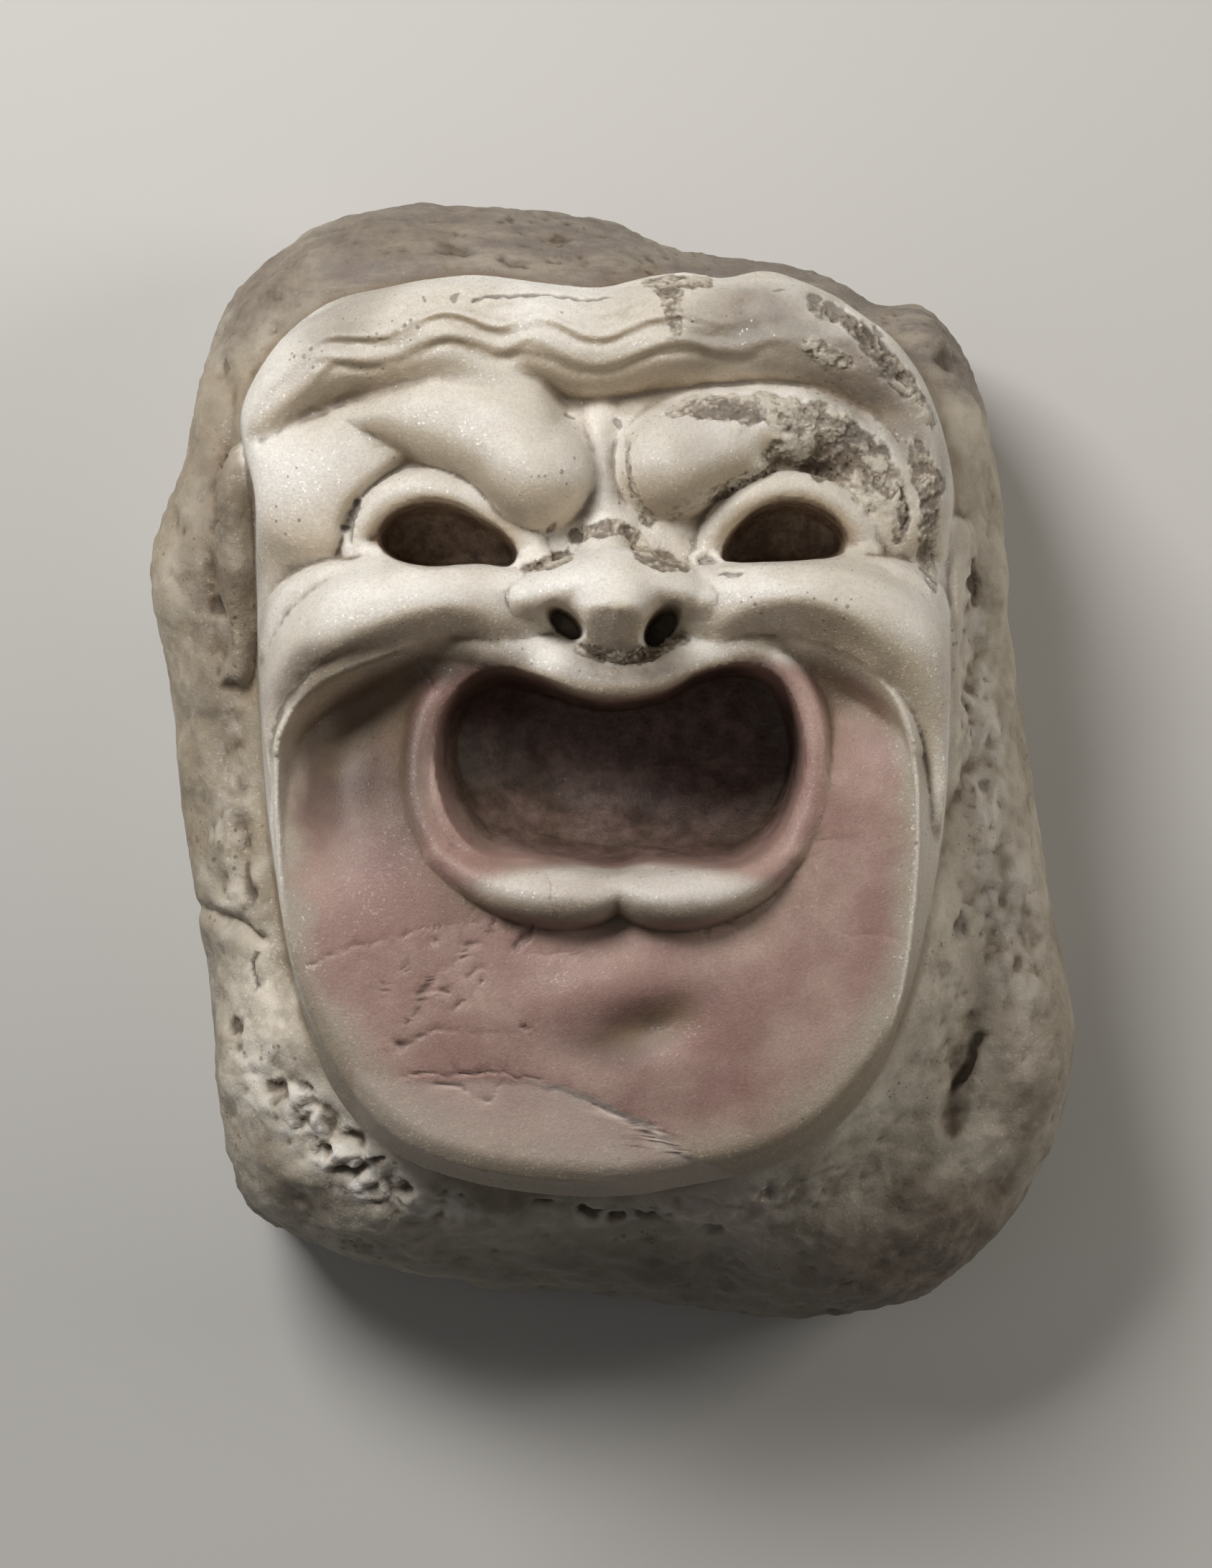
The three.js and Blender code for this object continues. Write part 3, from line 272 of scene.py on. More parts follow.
def nearest(line, x, y):
    """the nearest place on a line: distance, side, length run, and the row of values there"""
    best = np.full(x.shape, np.inf)
    left = np.zeros(x.shape)
    run_at = np.zeros(x.shape)
    values = np.zeros((line.shape[1],) + x.shape)
    run = 0.0
    for a, b in zip(line[:-1], line[1:]):
        dx, dy = b[:2] - a[:2]
        length = np.hypot(dx, dy) or 1e-9
        t = np.clip(((x - a[0]) * dx + (y - a[1]) * dy) / length**2, 0, 1)
        distance = np.hypot(x - a[0] - t * dx, y - a[1] - t * dy)
        nearer = distance < best
        best = np.where(nearer, distance, best)
        left = np.where(nearer, (dx * (y - a[1]) - dy * (x - a[0])) / length, left)
        run_at = np.where(nearer, run + t * length, run_at)
        for j in range(line.shape[1]):
            values[j] = np.where(nearer, a[j] + t * (b[j] - a[j]), values[j])
        run += length
    return best, left, run_at, values


def inside_distance(rows, x, y):
    """distance to a closed outline, negative inside it"""
    loop = curve(rows, True, LOOP_STEPS)
    best = np.full(x.shape, np.inf)
    inside = np.zeros(x.shape, bool)
    for a, b in zip(loop[:-1], loop[1:]):
        dx, dy = b - a
        t = np.clip(((x - a[0]) * dx + (y - a[1]) * dy) / (dx * dx + dy * dy or 1e-9), 0, 1)
        best = np.minimum(best, np.hypot(x - a[0] - t * dx, y - a[1] - t * dy))
        if dy:
            inside ^= ((a[1] > y) != (b[1] > y)) & (x < a[0] + (y - a[1]) * dx / dy)
    return np.where(inside, -best, best)


def groove(rows, x, y):
    """how deep a soft groove along a line is at a place"""
    distance, _, _, (_, _, width, depth) = nearest(curve(rows, False, ROLL_STEPS), x, y)
    return depth * np.exp(-((distance / width) ** 2))


def round_drop(r):
    inner = 1 - np.sqrt(1 - np.clip(r, 0, 0.96) ** 2)
    return np.where(r < 0.96, inner, 0.72 + (r - 0.96) * 3.4)


def around(rows, x, y, margin):
    """which places lie within a margin of the box round some rows"""
    places = np.array(rows)[:, :2]
    low, high = places.min(axis=0) - margin, places.max(axis=0) + margin
    return (x > low[0]) & (x < high[0]) & (y > low[1]) & (y < high[1])


def roll(rows, x, y):
    line = curve(rows, False, ROLL_STEPS)
    out = np.full(x.shape, FAR_BELOW)
    near = around(line, x, y, ROLL_MARGIN + line[:, 2].max())
    distance, _, _, (_, _, width, crown, drop) = nearest(line, x[near], y[near])
    out[near] = crown - drop * round_drop(distance / width)
    return out


def with_rolls(z, tables, x, y, softness):
    """a height map with rolls laid on it"""
    for rows in tables:
        z = soft_max(z, roll(rows, x, y), softness)
    return z


def fold(rows, x, y):
    line = curve(rows, False, ROLL_STEPS)
    out = np.full(x.shape, FAR_BELOW)
    near = around(line, x, y, ROLL_MARGIN + line[:, [3, 5]].max())
    distance, left, _, values = nearest(line, x[near], y[near])
    _, _, crown, left_width, left_drop, right_width, right_drop = values
    side = smooth(-0.5, 0.5, left / np.maximum(distance, 1e-6))
    width = right_width + (left_width - right_width) * side
    drop = right_drop + (left_drop - right_drop) * side
    out[near] = crown - drop * round_drop(distance / width)
    return out


def ellipse_share(x, y, cx, cy, half_length, half_width, turn):
    c, s = np.cos(np.radians(turn)), np.sin(np.radians(turn))
    u = (x - cx) * c + (y - cy) * s
    v = (y - cy) * c - (x - cx) * s
    return np.hypot(u / half_length, v / half_width)


def dome(row, x, y):
    cx, cy, half_length, half_width, turn, crown, drop = row
    return crown - drop * round_drop(ellipse_share(x, y, cx, cy, half_length, half_width, turn))


def swelling(row, x, y):
    cx, cy, half_length, half_width, turn, height = row
    return height * np.exp(-(ellipse_share(x, y, cx, cy, half_length, half_width, turn) ** 2))


def lattice(i, j, k, seed):
    mask = np.int64(0xFFFFFFFF)
    n = (i * 374761393 + j * 668265263 + k * 1274126177 + seed * 974711) & mask
    n = ((n ^ (n >> 13)) * 1274126177) & mask
    n = n ^ (n >> 16)
    return (n & 0xFFFF) / 32767.5 - 1


def lumps(x, y, z, cell, seed):
    px, py, pz = x / cell, y / cell, z / cell
    i, j, k = np.floor(px), np.floor(py), np.floor(pz)
    fx, fy, fz = (t * t * (3 - 2 * t) for t in (px - i, py - j, pz - k))
    i, j, k = i.astype(np.int64), j.astype(np.int64), k.astype(np.int64)
    total = 0
    for a in (0, 1):
        for b in (0, 1):
            for c in (0, 1):
                share = (fx if a else 1 - fx) * (fy if b else 1 - fy) * (fz if c else 1 - fz)
                total = total + share * lattice(i + a, j + b, k + c, seed)
    return total


def hair_height(x, y):
    """the roll of hair, combed in overlapping wavy strands that are worn away on the right"""
    line = curve(HAIR, False, ROLL_STEPS)
    distance, _, _, (near_x, near_y, width, crown, drop) = nearest(line, x, y)
    cx, cy = HAIR_CENTRE
    outside = np.hypot(x - cx, y - cy) > np.hypot(near_x - cx, near_y - cy)
    across = np.where(outside, distance, -distance)
    swing = WAVES[0][1]
    for (x0, shift0), (x1, shift1) in zip(WAVES[:-1], WAVES[1:]):
        swing = swing + (shift1 - shift0) * smooth(x0, x1, near_x)
    lane = (across - swing) / STRAND_STEP
    part = lane - np.floor(lane)
    kept = (1 - 0.6 * smooth(30, 85, near_x)) * (0.85 + 0.35 * lumps(x, 2 * y, 0 * x, 26, 7))
    fade = smooth(1.1, 0.85, distance / width)
    strand = STRAND_DEPTH * (smooth(0, 0.35, part) * (1 - part) - 0.4) * kept * fade
    sway = 0.3 * swing * smooth(1, 0.4, distance / width)
    return crown - drop * round_drop(distance / width) + strand + sway


def face_height(x, y):
    z = FACE_HEIGHT - FACE_FALL * np.abs((x + 3) / HALF_FACE) ** 2.4 - 6 * np.clip((y - 60) / 110, 0, 1)
    for socket in EYE_SOCKETS:
        z = z + swelling(socket, x, y)
    z = soft_max(z, hair_height(x, y), 2.5)
    for temple in TEMPLES:
        z = soft_max(z, dome(temple, x, y), 12)
    z = z - 5 * np.exp(-((nearest(curve(LID_CREASE, False, ROLL_STEPS), x, y)[0] / 2.6) ** 2))
    z = soft_max(z, soft_max(fold(LEFT_BROW, x, y), dome(BROW_BALLS[0], x, y), 13), 8)
    z = soft_max(z, soft_max(fold(RIGHT_BROW, x, y), dome(BROW_BALLS[1], x, y), 13), 8)
    z = soft_max(z, roll(BROW_GAP, x, y), 6)
    for rows in FURROWS:
        z = z - groove(rows, x, y)
    z = with_rolls(z, UPPER_LIDS, x, y, 2.5)
    z = with_rolls(z, LOWER_LIDS, x, y, 4)
    z = with_rolls(z, SMILE_FOLDS, x, y, 2.5)
    for cheek in (LEFT_CHEEK, RIGHT_CHEEK):
        z = soft_max(z, fold(cheek, x, y), 3.5)
    return soft_max(z, soft_max(roll(NOSE, x, y), roll(NOSE_WINGS, x, y), 9), 6)


def horn_height(x, y, rim):
    low = np.clip((-y - 60) / 95, 0, 1) ** 2
    high = smooth(-10, 30, y)
    left = smooth(40, -40, x)
    funnel = FUNNEL_HEIGHT - 10 * low
    for form in FUNNEL_HOLLOWS + CHIN_FORMS:
        funnel = funnel + swelling(form, x, y)
    edge_height = RIM_HEIGHT * high + (RIM_HEIGHT - 3 - 9 * low) * (1 - high)
    below = smooth(-30, -110, y)
    sharpness = 0.5 + 0.5 * left * (1 - below) + 0.9 * (1 - left) * (1 - high)
    ridge = edge_height - 1.6 * np.abs(rim - 0.3) ** 1.25 * sharpness
    rounding = (8 + 2 * smooth(-60, -140, y)) * below * np.clip(left + smooth(-60, -145, y), 0, 1) + 0.01
    inside = soft_max(funnel, np.where(rim < 12, ridge, -100), 4)
    inside = inside - rounding * round_drop(np.clip(1 + rim / rounding, 0, 1))
    wall = edge_height - np.maximum(2, rounding) - 2.2 * np.maximum(rim, 0)
    outside = face_height(x, y)
    outside = np.where(y > 30, outside, soft_max(outside - 80 * smooth(-20, -75, y), wall, 3))
    outside = soft_min(outside, edge_height + 1.3 * np.maximum(rim + 1, 0), 3)
    outside = soft_max(outside, ridge - 60 * smooth(6, -14, y), 2)
    return inside + (outside - inside) * smooth(-0.8, 0.8, rim)


BANK_RISE = {"right": 34, "left": 14}
BLOCK_EDGE = {"side": [50, 30], "top": [62, 44], "foot": [84, 62]}


def mask_height(x, y, head, rim):
    z = with_rolls(horn_height(x, y, rim), MOUTH_CORNERS + [LOWER_LIP], x, y, 3)
    z = soft_max(z, fold(UPPER_LIP, x, y), 4)
    mouth = inside_distance(MOUTH_OUTLINE, x, y)
    slope = 4 + 5 * smooth(8, -30, y) + 4 * smooth(0, -62, x)
    floor = MOUTH_FLOOR + 22 * smooth(-5, -38, y) + 26 * smooth(-15, -66, x) + 2.5 * lumps(x, y, 0 * x, 16, 5)
    pit = floor + (RIM_HEIGHT - 3 - floor) * (1 - np.clip(-mouth / slope, 0, 1)) ** 1.8
    z = soft_min(z, np.where(mouth < 0, pit, RIM_HEIGHT + 1 + 6 * mouth), 2)
    for rows in (LEFT_EYE, RIGHT_EYE):
        eye = inside_distance(rows, x, y)
        pit = np.where(eye < 0, EYE_FLOOR + 42 * (1 - np.clip(-eye / 3.5, 0, 1)) ** 2.5, 180 + 9 * eye)
        z = soft_min(z, pit, 1)
    for row in NOSTRILS:
        share = ellipse_share(x, y, *row)
        z = np.where(share < 1.3, soft_min(z, NOSTRIL_FLOOR + 110 * np.maximum(share - 0.75, 0), 3), z)
    corner = HEAD_ROUNDING * 0.9 * round_drop(np.clip(1 + head / HEAD_ROUNDING, 0, 1)) * smooth(20, 60, y)
    return np.where(rim > 0, z - corner, z)


def block_height(x, y, edge, rim):
    top, foot = smooth(120, 190, y), smooth(-110, -190, y)
    drop, width = (
        BLOCK_EDGE["side"][i] * (1 - top - foot) + BLOCK_EDGE["top"][i] * top + BLOCK_EDGE["foot"][i] * foot
        for i in (0, 1)
    )
    z = BLOCK_FRONT - drop * round_drop(np.clip(1 + edge / width, 0, 1))
    bank = BANK_RISE["right"] * smooth(-5, 60, x) * smooth(0, -60, y)
    bank = bank + BANK_RISE["left"] * smooth(-40, -90, x) * smooth(-70, -110, y)
    z = z + bank * smooth(BANK_WIDTH, 0, rim)
    return with_rolls(z, SIDE_LOCKS, x, y, 3)


def outlines(x, y):
    head = inside_distance(HEAD_OUTLINE, x, y)
    rim = inside_distance(RIM_OUTLINE, x, y)
    edge = inside_distance(BLOCK_OUTLINE, x, y)
    return head, rim, edge


# Grid on which the stone is worked out: fine over the mask, coarse over the rest of the block
FINE = 1.0
COARSE = 2.6
FINE_HEIGHT = 1.5
MASK_SPAN = {"x": (-138, 132), "y": (-170, 190), "z": (96, 232)}
BLOCK_SPAN = {"x": (-190, 190), "y": (-232, 234), "z": (0, 240)}


def grid_axis(name, fine):
    """places along one axis, close together over the mask"""
    low, high = BLOCK_SPAN[name]
    fine_low, fine_high = MASK_SPAN[name]
    before = np.linspace(low, fine_low, math.ceil((fine_low - low) / COARSE) + 1)
    middle = np.linspace(fine_low, fine_high, math.ceil((fine_high - fine_low) / fine) + 1)
    after = np.linspace(fine_high, high, math.ceil((high - fine_high) / COARSE) + 1)
    return np.concatenate([before[:-1], middle, after[1:]])


xs, ys = grid_axis("x", FINE), grid_axis("y", FINE)
zs = np.concatenate([[-COARSE], grid_axis("z", FINE_HEIGHT)])
grid_x, grid_y = np.meshgrid(xs, ys, indexing="ij")
outline_maps = outlines(grid_x, grid_y)


def read_map(values, x, y):
    """the values of a map on the grid at any places"""
    i = np.clip(np.searchsorted(xs, x) - 1, 0, len(xs) - 2)
    j = np.clip(np.searchsorted(ys, y) - 1, 0, len(ys) - 2)
    s = (x - xs[i]) / (xs[i + 1] - xs[i])
    t = (y - ys[j]) / (ys[j + 1] - ys[j])
    low = values[i, j] * (1 - s) + values[i + 1, j] * s
    high = values[i, j + 1] * (1 - s) + values[i + 1, j + 1] * s
    return low * (1 - t) + high * t


def depth_grid():
    """depth under the surface at every place of the grid, negative outside the stone"""
    y = grid_y
    head, rim, edge = outline_maps
    mask_top = mask_height(grid_x, y, head, rim)
    block_top = block_height(grid_x, y, edge, rim)
    inside_mask = np.minimum(head, rim)
    spread = SIDE_DRAFT - (SIDE_DRAFT + CHIN_UNDERCUT) * smooth(-90, -145, y)
    depth = np.empty((len(xs), len(ys), len(zs)), np.float32)
    for k, z in enumerate(zs):
        if z < 0:
            depth[:, :, k] = -1
            continue
        side = -inside_mask + spread * np.clip(150 - z, -20, 50)
        inset = BLOCK_BACK_INSET * (np.clip(BLOCK_WAIST - z, 0, BLOCK_WAIST) / BLOCK_WAIST) ** 2
        block = np.minimum(block_top - z, -edge - inset)
        depth[:, :, k] = soft_max(np.minimum(mask_top - z, side), block, JOINT_FILLET)
    return depth


def settle(depth):
    """where only the crossed corners of a square are stone, fills a third, so no two sheets share an edge"""
    planes = [((1, 0, 0), (0, 1, 0)), ((0, 1, 0), (0, 0, 1)), ((0, 0, 1), (1, 0, 0))]
    size = depth.shape
    for _ in range(6):
        changed = 0
        for u, v in planes:
            corners = []
            for m, n in ((0, 0), (1, 0), (1, 1), (0, 1)):
                shift = [m * u[a] + n * v[a] for a in range(3)]
                far = [u[a] + v[a] for a in range(3)]
                part = tuple(slice(shift[a], size[a] - far[a] + shift[a]) for a in range(3))
                corners.append(depth[part])
            a, b, c, d = (corner > 0 for corner in corners)
            crossed = (a == c) & (b == d) & (a != b)
            places = np.argwhere(crossed)
            for place in places:
                values = [corner[tuple(place)] for corner in corners]
                p, q = (1, 3) if values[0] > 0 else (0, 2)
                chosen = p if values[p] > values[q] else q
                corners[chosen][tuple(place)] = FILLED
            changed += len(places)
        if not changed:
            return


def surface_net(depth):
    """pulls one vertex from each cell that the surface crosses and joins them into squares"""
    inside = depth > 0
    nx, ny, nz = depth.shape
    count = np.zeros((nx - 1, ny - 1, nz - 1), np.uint8)
    corners = [(n & 1, (n >> 1) & 1, (n >> 2) & 1) for n in range(8)]
    for i, j, k in corners:
        count += inside[i : nx - 1 + i, j : ny - 1 + j, k : nz - 1 + k]
    active = np.argwhere((count > 0) & (count < 8))
    ids = np.full(count.shape, -1, np.int32)
    ids[tuple(active.T)] = np.arange(len(active))
    total = np.zeros((len(active), 3))
    crossings = np.zeros(len(active))
    ax, ay, az = active.T
    for m, a in enumerate(corners):
        for b in corners[m + 1 :]:
            if sum(abs(p - q) for p, q in zip(a, b)) != 1:
                continue
            da = depth[ax + a[0], ay + a[1], az + a[2]].astype(float)
            db = depth[ax + b[0], ay + b[1], az + b[2]].astype(float)
            crossed = (da > 0) != (db > 0)
            t = np.where(crossed, da / np.where(crossed, da - db, 1), 0)
            for axis in range(3):
                total[:, axis] += np.where(crossed, a[axis] + t * (b[axis] - a[axis]), 0)
            crossings += crossed
    share = total / crossings[:, None]
    points = np.stack(
        [p[i] + s * (p[i + 1] - p[i]) for p, i, s in zip((xs, ys, zs), (ax, ay, az), share.T)], axis=1
    )
    points[az == 0, 2] = 0
    squares = []
    for axis in range(3):
        ahead = [0, 0, 0]
        ahead[axis] = 1
        here = inside[: nx - ahead[0], : ny - ahead[1], : nz - ahead[2]]
        there = inside[ahead[0] :, ahead[1] :, ahead[2] :]
        i, j, k = np.nonzero(here != there)
        solid = here[i, j, k]
        u = [0, 0, 0]
        v = [0, 0, 0]
        u[(axis + 1) % 3] = 1
        v[(axis + 2) % 3] = 1
        ring = [
            ids[i - m * u[0] - n * v[0], j - m * u[1] - n * v[1], k - m * u[2] - n * v[2]]
            for m, n in ((0, 0), (1, 0), (1, 1), (0, 1))
        ]
        ring = np.stack(ring, axis=1)
        ring[~solid] = ring[~solid][:, ::-1]
        squares.append(ring)
    return points, np.concatenate(squares)


def as_triangles(points, squares):
    """each square cut along its shorter diagonal"""
    p = points[squares]
    across = np.linalg.norm(p[:, 0] - p[:, 2], axis=1) <= np.linalg.norm(p[:, 1] - p[:, 3], axis=1)
    turned = np.where(across[:, None], squares, np.roll(squares, -1, axis=1))
    return np.concatenate([turned[:, [0, 1, 2]], turned[:, [0, 2, 3]]])


def vertex_normals(points, triangles):
    a, b, c = (points[triangles[:, n]] for n in range(3))
    faces = np.cross(b - a, c - a)
    normals = np.zeros_like(points)
    for corner in range(3):
        for axis in range(3):
            normals[:, axis] += np.bincount(triangles[:, corner], faces[:, axis], len(points))
    return normals / np.maximum(np.linalg.norm(normals, axis=1), 1e-9)[:, None]


def roughen(points, triangles):
    """moves the rough parts of the block in and out, and leaves the carved mask alone"""
    normals = vertex_normals(points, triangles)
    x, y, z = points.T
    height = sum(size * lumps(x, y, z, cell, seed) for cell, size, seed in LUMP_SIZES)
    for rows in BLOCK_GROOVES:
        height = height - groove(rows, x, y)
    return points + normals * (height * block_share(x, y, z))[:, None]


def block_share(x, y, z):
    """how much of the surface at a place is rough block: 0 on the carved mask and on the flat back"""
    head, rim, edge = (read_map(values, x, y) for values in outline_maps)
    mask = np.minimum(head, rim)
    free = smooth(1, 12, mask + 0.4 * np.clip(110 - z, 0, 60)) * smooth(0, BACK_BAND, z)
    return free * (1 - 0.6 * smooth(-6, 2, edge))


def refine(points, triangles, edge_length):
    """cuts in half every edge that is longer than wanted, with new points on the rounded surface"""
    ends = np.sort(np.concatenate([triangles[:, [0, 1]], triangles[:, [1, 2]], triangles[:, [2, 0]]]), axis=1)
    edges, edge_of = np.unique(ends, axis=0, return_inverse=True)
    edge_of = edge_of.reshape(3, -1).T
    a, b = points[edges[:, 0]], points[edges[:, 1]]
    middle = (a + b) / 2
    long = np.linalg.norm(b - a, axis=1) > edge_length(middle)
    # A triangle with two long edges has all three cut, so no thin slivers are left
    while True:
        twice = long[edge_of].sum(axis=1) == 2
        if not twice.any():
            break
        long[edge_of[twice].ravel()] = True
    normals = vertex_normals(points, triangles)
    na, nb = normals[edges[:, 0]], normals[edges[:, 1]]
    lift = (((middle - a) * na).sum(1)[:, None] * na + ((middle - b) * nb).sum(1)[:, None] * nb) / 2
    flat = (a[:, 2] < 0.01) & (b[:, 2] < 0.01)
    middle = np.where(flat[:, None], middle, middle - 0.7 * lift)
    number = np.full(len(edges), -1)
    number[long] = len(points) + np.arange(long.sum())
    points = np.concatenate([points, middle[long]])
    marks = long[edge_of]
    count = marks.sum(axis=1)
    made = [triangles[count == 0]]
    one = count == 1
    for side in range(3):
        rows = one & marks[:, side]
        p, q, r = (triangles[rows][:, (side + n) % 3] for n in range(3))
        m = number[edge_of[rows, side]]
        made += [np.stack([p, m, r], 1), np.stack([m, q, r], 1)]
    rows = count == 3
    p, q, r = triangles[rows].T
    mp, mq, mr = number[edge_of[rows]].T
    made += [np.stack(t, 1) for t in ((p, mp, mr), (mp, q, mq), (mr, mq, r), (mp, mq, mr))]
    return points, np.concatenate(made)


def make_mask():
    """the stone with its main forms"""
    depth = depth_grid()
    settle(depth)
    points, squares = surface_net(depth)
    triangles = as_triangles(points, squares)
    return roughen(points, triangles), triangles


# Damage and wear, in millimetres seen from the front. Cracks are x, y, half width, depth; below 0 stands up.
CRACKS = [
    [[-77, -115, 0.5, 0.6], [-70, -113, 0.7, 1.2], [-60, -114, 0.7, 1.3], [-49, -113.5, 0.7, 1.4],
     [-41, -113.2, 0.7, 1.3], [-33, -114.5, 0.7, 1.0], [-26, -116, 0.7, 0.8]],
    [[-65, -119, 0.6, 0.5], [-60.5, -117.5, 0.8, 1.2], [-56.5, -119, 0.7, 1.0], [-51, -121.7, 0.6, 0.8],
     [-45, -124.2, 0.6, 0.9], [-42, -119, 0.5, 0.6], [-39.5, -115.5, 0.5, 0.5]],
    [[-112.5, -73.6, 0.7, 0.5], [-104, -70.5, 0.6, 0.6], [-94, -66.6, 0.6, 0.5], [-81, -64.2, 0.5, 0.4],
     [-70.5, -60.4, 0.5, 0.5], [-61, -58.4, 0.5, 0.5], [-46.5, -58, 0.5, 0.4]],
    [[-42.5, -58, 0.9, 1.0], [-45, -62, 1.1, 0.9], [-49, -64, 0.6, 0.4], [-52.5, -66.6, 1.2, 1.1],
     [-55, -69.7, 0.9, 0.8], [-58, -73.6, 0.5, 0.4], [-62.7, -76, 0.4, 0.3]],
    [[-67.4, -78.2, 1.8, 1.0], [-69.7, -83.7, 2.0, 1.3], [-71.3, -86.8, 1.3, 1.0], [-73.2, -91.4, 1.1, 0.9],
     [-75.2, -95.3, 0.9, 0.8], [-77.5, -97.7, 0.8, 0.6]],
    [[-79, -103, 2.2, 1.5], [-75.2, -101.5, 1.3, 1.1], [-69, -99.2, 1.0, 0.9], [-63.5, -97.3, 0.6, 0.5],
     [-55, -97.7, 0.5, 0.4], [-47, -98.4, 0.5, 0.4], [-39, -99.2, 0.4, 0.3], [-30, -99.2, 0.4, 0.3]],
    [[-47, -73.6, 0.6, 0.5], [-52.6, -77.5, 1.2, 0.9]],
    [[-48, -79.4, 0.9, 0.9], [-49.5, -82, 0.7, 0.5], [-54, -86.8, 0.7, 0.6], [-58, -89, 1.2, 1.0],
     [-61.5, -89, 0.7, 0.5]],
    [[-28.9, -59.6, 1.0, 0.8], [-31.5, -63, 2.0, 1.6], [-34.8, -67.4, 1.6, 1.2]],
    [[-31.7, -68.9, 0.4, 0.3], [-22, -69, 0.4, 0.4], [-13, -69.3, 0.4, 0.3]],
    [[85, -62, 0.5, 0.4], [96, -63, 0.5, 0.5], [106, -63, 0.5, 0.4]],
    [[-22, -38, 0.5, 0.3], [-22.5, -44, 0.8, 0.5], [-21.5, -50, 0.8, 0.5], [-20, -56, 0.5, 0.3]],
    [[-50, 171, 1.0, 1.0], [-46, 172.6, 1.0, 1.6], [-40, 172.2, 0.9, 1.4], [-33, 173, 0.8, 1.2],
     [-25, 173.6, 0.8, 1.1], [-16, 172, 0.9, 1.4], [-8, 171.5, 0.9, 1.4], [0, 173.5, 0.7, 0.8]],
    [[-5.6, -126.3, 0.7, 0.7], [4, -131, 0.7, 0.9], [14.4, -137, 0.7, 0.9], [19.5, -141, 0.8, 0.8]],
    [[96, 133.5, 0.7, -0.6], [100, 134.5, 0.8, -0.8], [104, 138, 0.7, -0.5]],
    [[100, 143, 0.6, 0.5], [108, 137, 0.8, 0.8], [114, 139, 0.7, 0.6]],
    [[-96.5, 84, 1.5, 0.8], [-97.2, 90, 2.0, 2.5], [-95.5, 94.5, 1.4, 1.6], [-92, 99, 1.0, 0.8]],
    [[106, 106, 0.7, 0.8], [109, 99, 0.9, 1.2], [110.5, 92, 0.8, 1.0], [108, 88, 0.6, 0.7]],
    [[-72, 40, 0.6, 0.5], [-68, 33, 0.5, 0.6], [-64, 27, 0.4, 0.4]],
]
# Chips and pits: x, y, half length, half width, turn in degrees, depth
CHIPS = [
    [-84, -82, 1.0, 3.5, 20, 0.7], [-65, -64.6, 1.3, 0.8, -30, 0.7], [-76.7, -75.9, 1.5, 0.8, -35, 0.8],
    [-61.5, -83.5, 2.4, 1.3, -20, 1.1], [-31.3, -96.5, 1.3, 1.2, 0, 0.9], [-27, -94, 0.5, 0.5, 0, 0.5],
    [75, 172.8, 3.5, 1.6, -10, 1.6], [85, 166, 7, 3.5, -35, 1.1], [95, 158, 6, 2.5, -48, 1.0],
    [104, 146, 4.5, 6, 30, 1.0], [99, 161, 3, 1.6, -30, 0.9], [-58, 172, 2.5, 1.3, 60, 0.7],
    [-69, 171.5, 0.8, 1.2, 30, 0.7], [34, 76.5, 4.6, 2.6, 0, 3.5], [43.5, 70.3, 5.5, 1.8, 5, 1.5],
    [-21.7, 87.5, 1.2, 2.2, -30, 1.2], [-15, 130, 2.5, 1.6, -20, 1.0], [3, 126, 2.0, 3.0, 30, 0.9],
    [62, 176, 2.5, 0.6, 8, 0.5],
]
# Hollows in the rough block: x, y, half length, half width, turn in degrees, depth
HOLLOWS = [
    [-130, -123, 3.5, 2, 10, 2.5], [-115, -123, 5, 2, -5, 2.5], [-97, -142, 5, 2.6, -20, 4],
    [-112, -148, 5, 2.4, 30, 3.5], [-99, -155, 6, 2.6, 20, 4], [-88, -150, 3, 2, 0, 3],
    [-80, -161.5, 4.5, 3, 25, 3.5], [-118, -137, 5, 2, 35, 2.5], [-26, -168, 2.5, 2, 0, 2.5],
    [-8, -171, 4.5, 2.4, -10, 3], [2, -173.5, 3, 2.6, 40, 3], [13, -173, 3.5, 3, 20, 3],
    [40, -178, 4, 3, 0, 1.6], [58, -162, 4, 2.5, 40, 1.8], [-138, -47, 2.2, 8, 0, 2.6],
    [-136, -79, 1.2, 7, -8, 1.8], [-144, -100, 4, 2.5, 40, 2.2], [136, 25, 2.2, 5, -5, 2.5],
    [137, -112, 3, 13, -28, 3.4], [134, -60, 2, 5, -20, 1.8], [139, 70, 2, 9, 3, 2.2],
    [-152, 92, 3.5, 3, 0, 2.5], [-150, 62, 3, 4, 0, 2], [-60, 199, 7, 2.2, 0, 1.5],
    [-38, 192, 6, 2, -5, 1.5], [-72, 187, 8, 2, 3, 1.3], [-20, 203, 5, 2.5, 0, 1.2],
    [130, 158, 5, 4, -40, 2.2],
]
# Parts of the block left picked into sharp lumps: x, y, half length, half width, turn in degrees, depth
PICKED = [
    [-103, -144, 34, 17, -38, 3.4], [-135, -118, 14, 16, 0, 2], [-70, -166, 26, 8, -12, 2],
    [10, -171, 44, 6, 3, 1.4], [-146, -20, 8, 50, 0, 1.3], [140, 20, 10, 75, 5, 1.8],
    [152, -60, 16, 40, 10, 1.6], [70, -165, 40, 9, 18, 1.0],
]
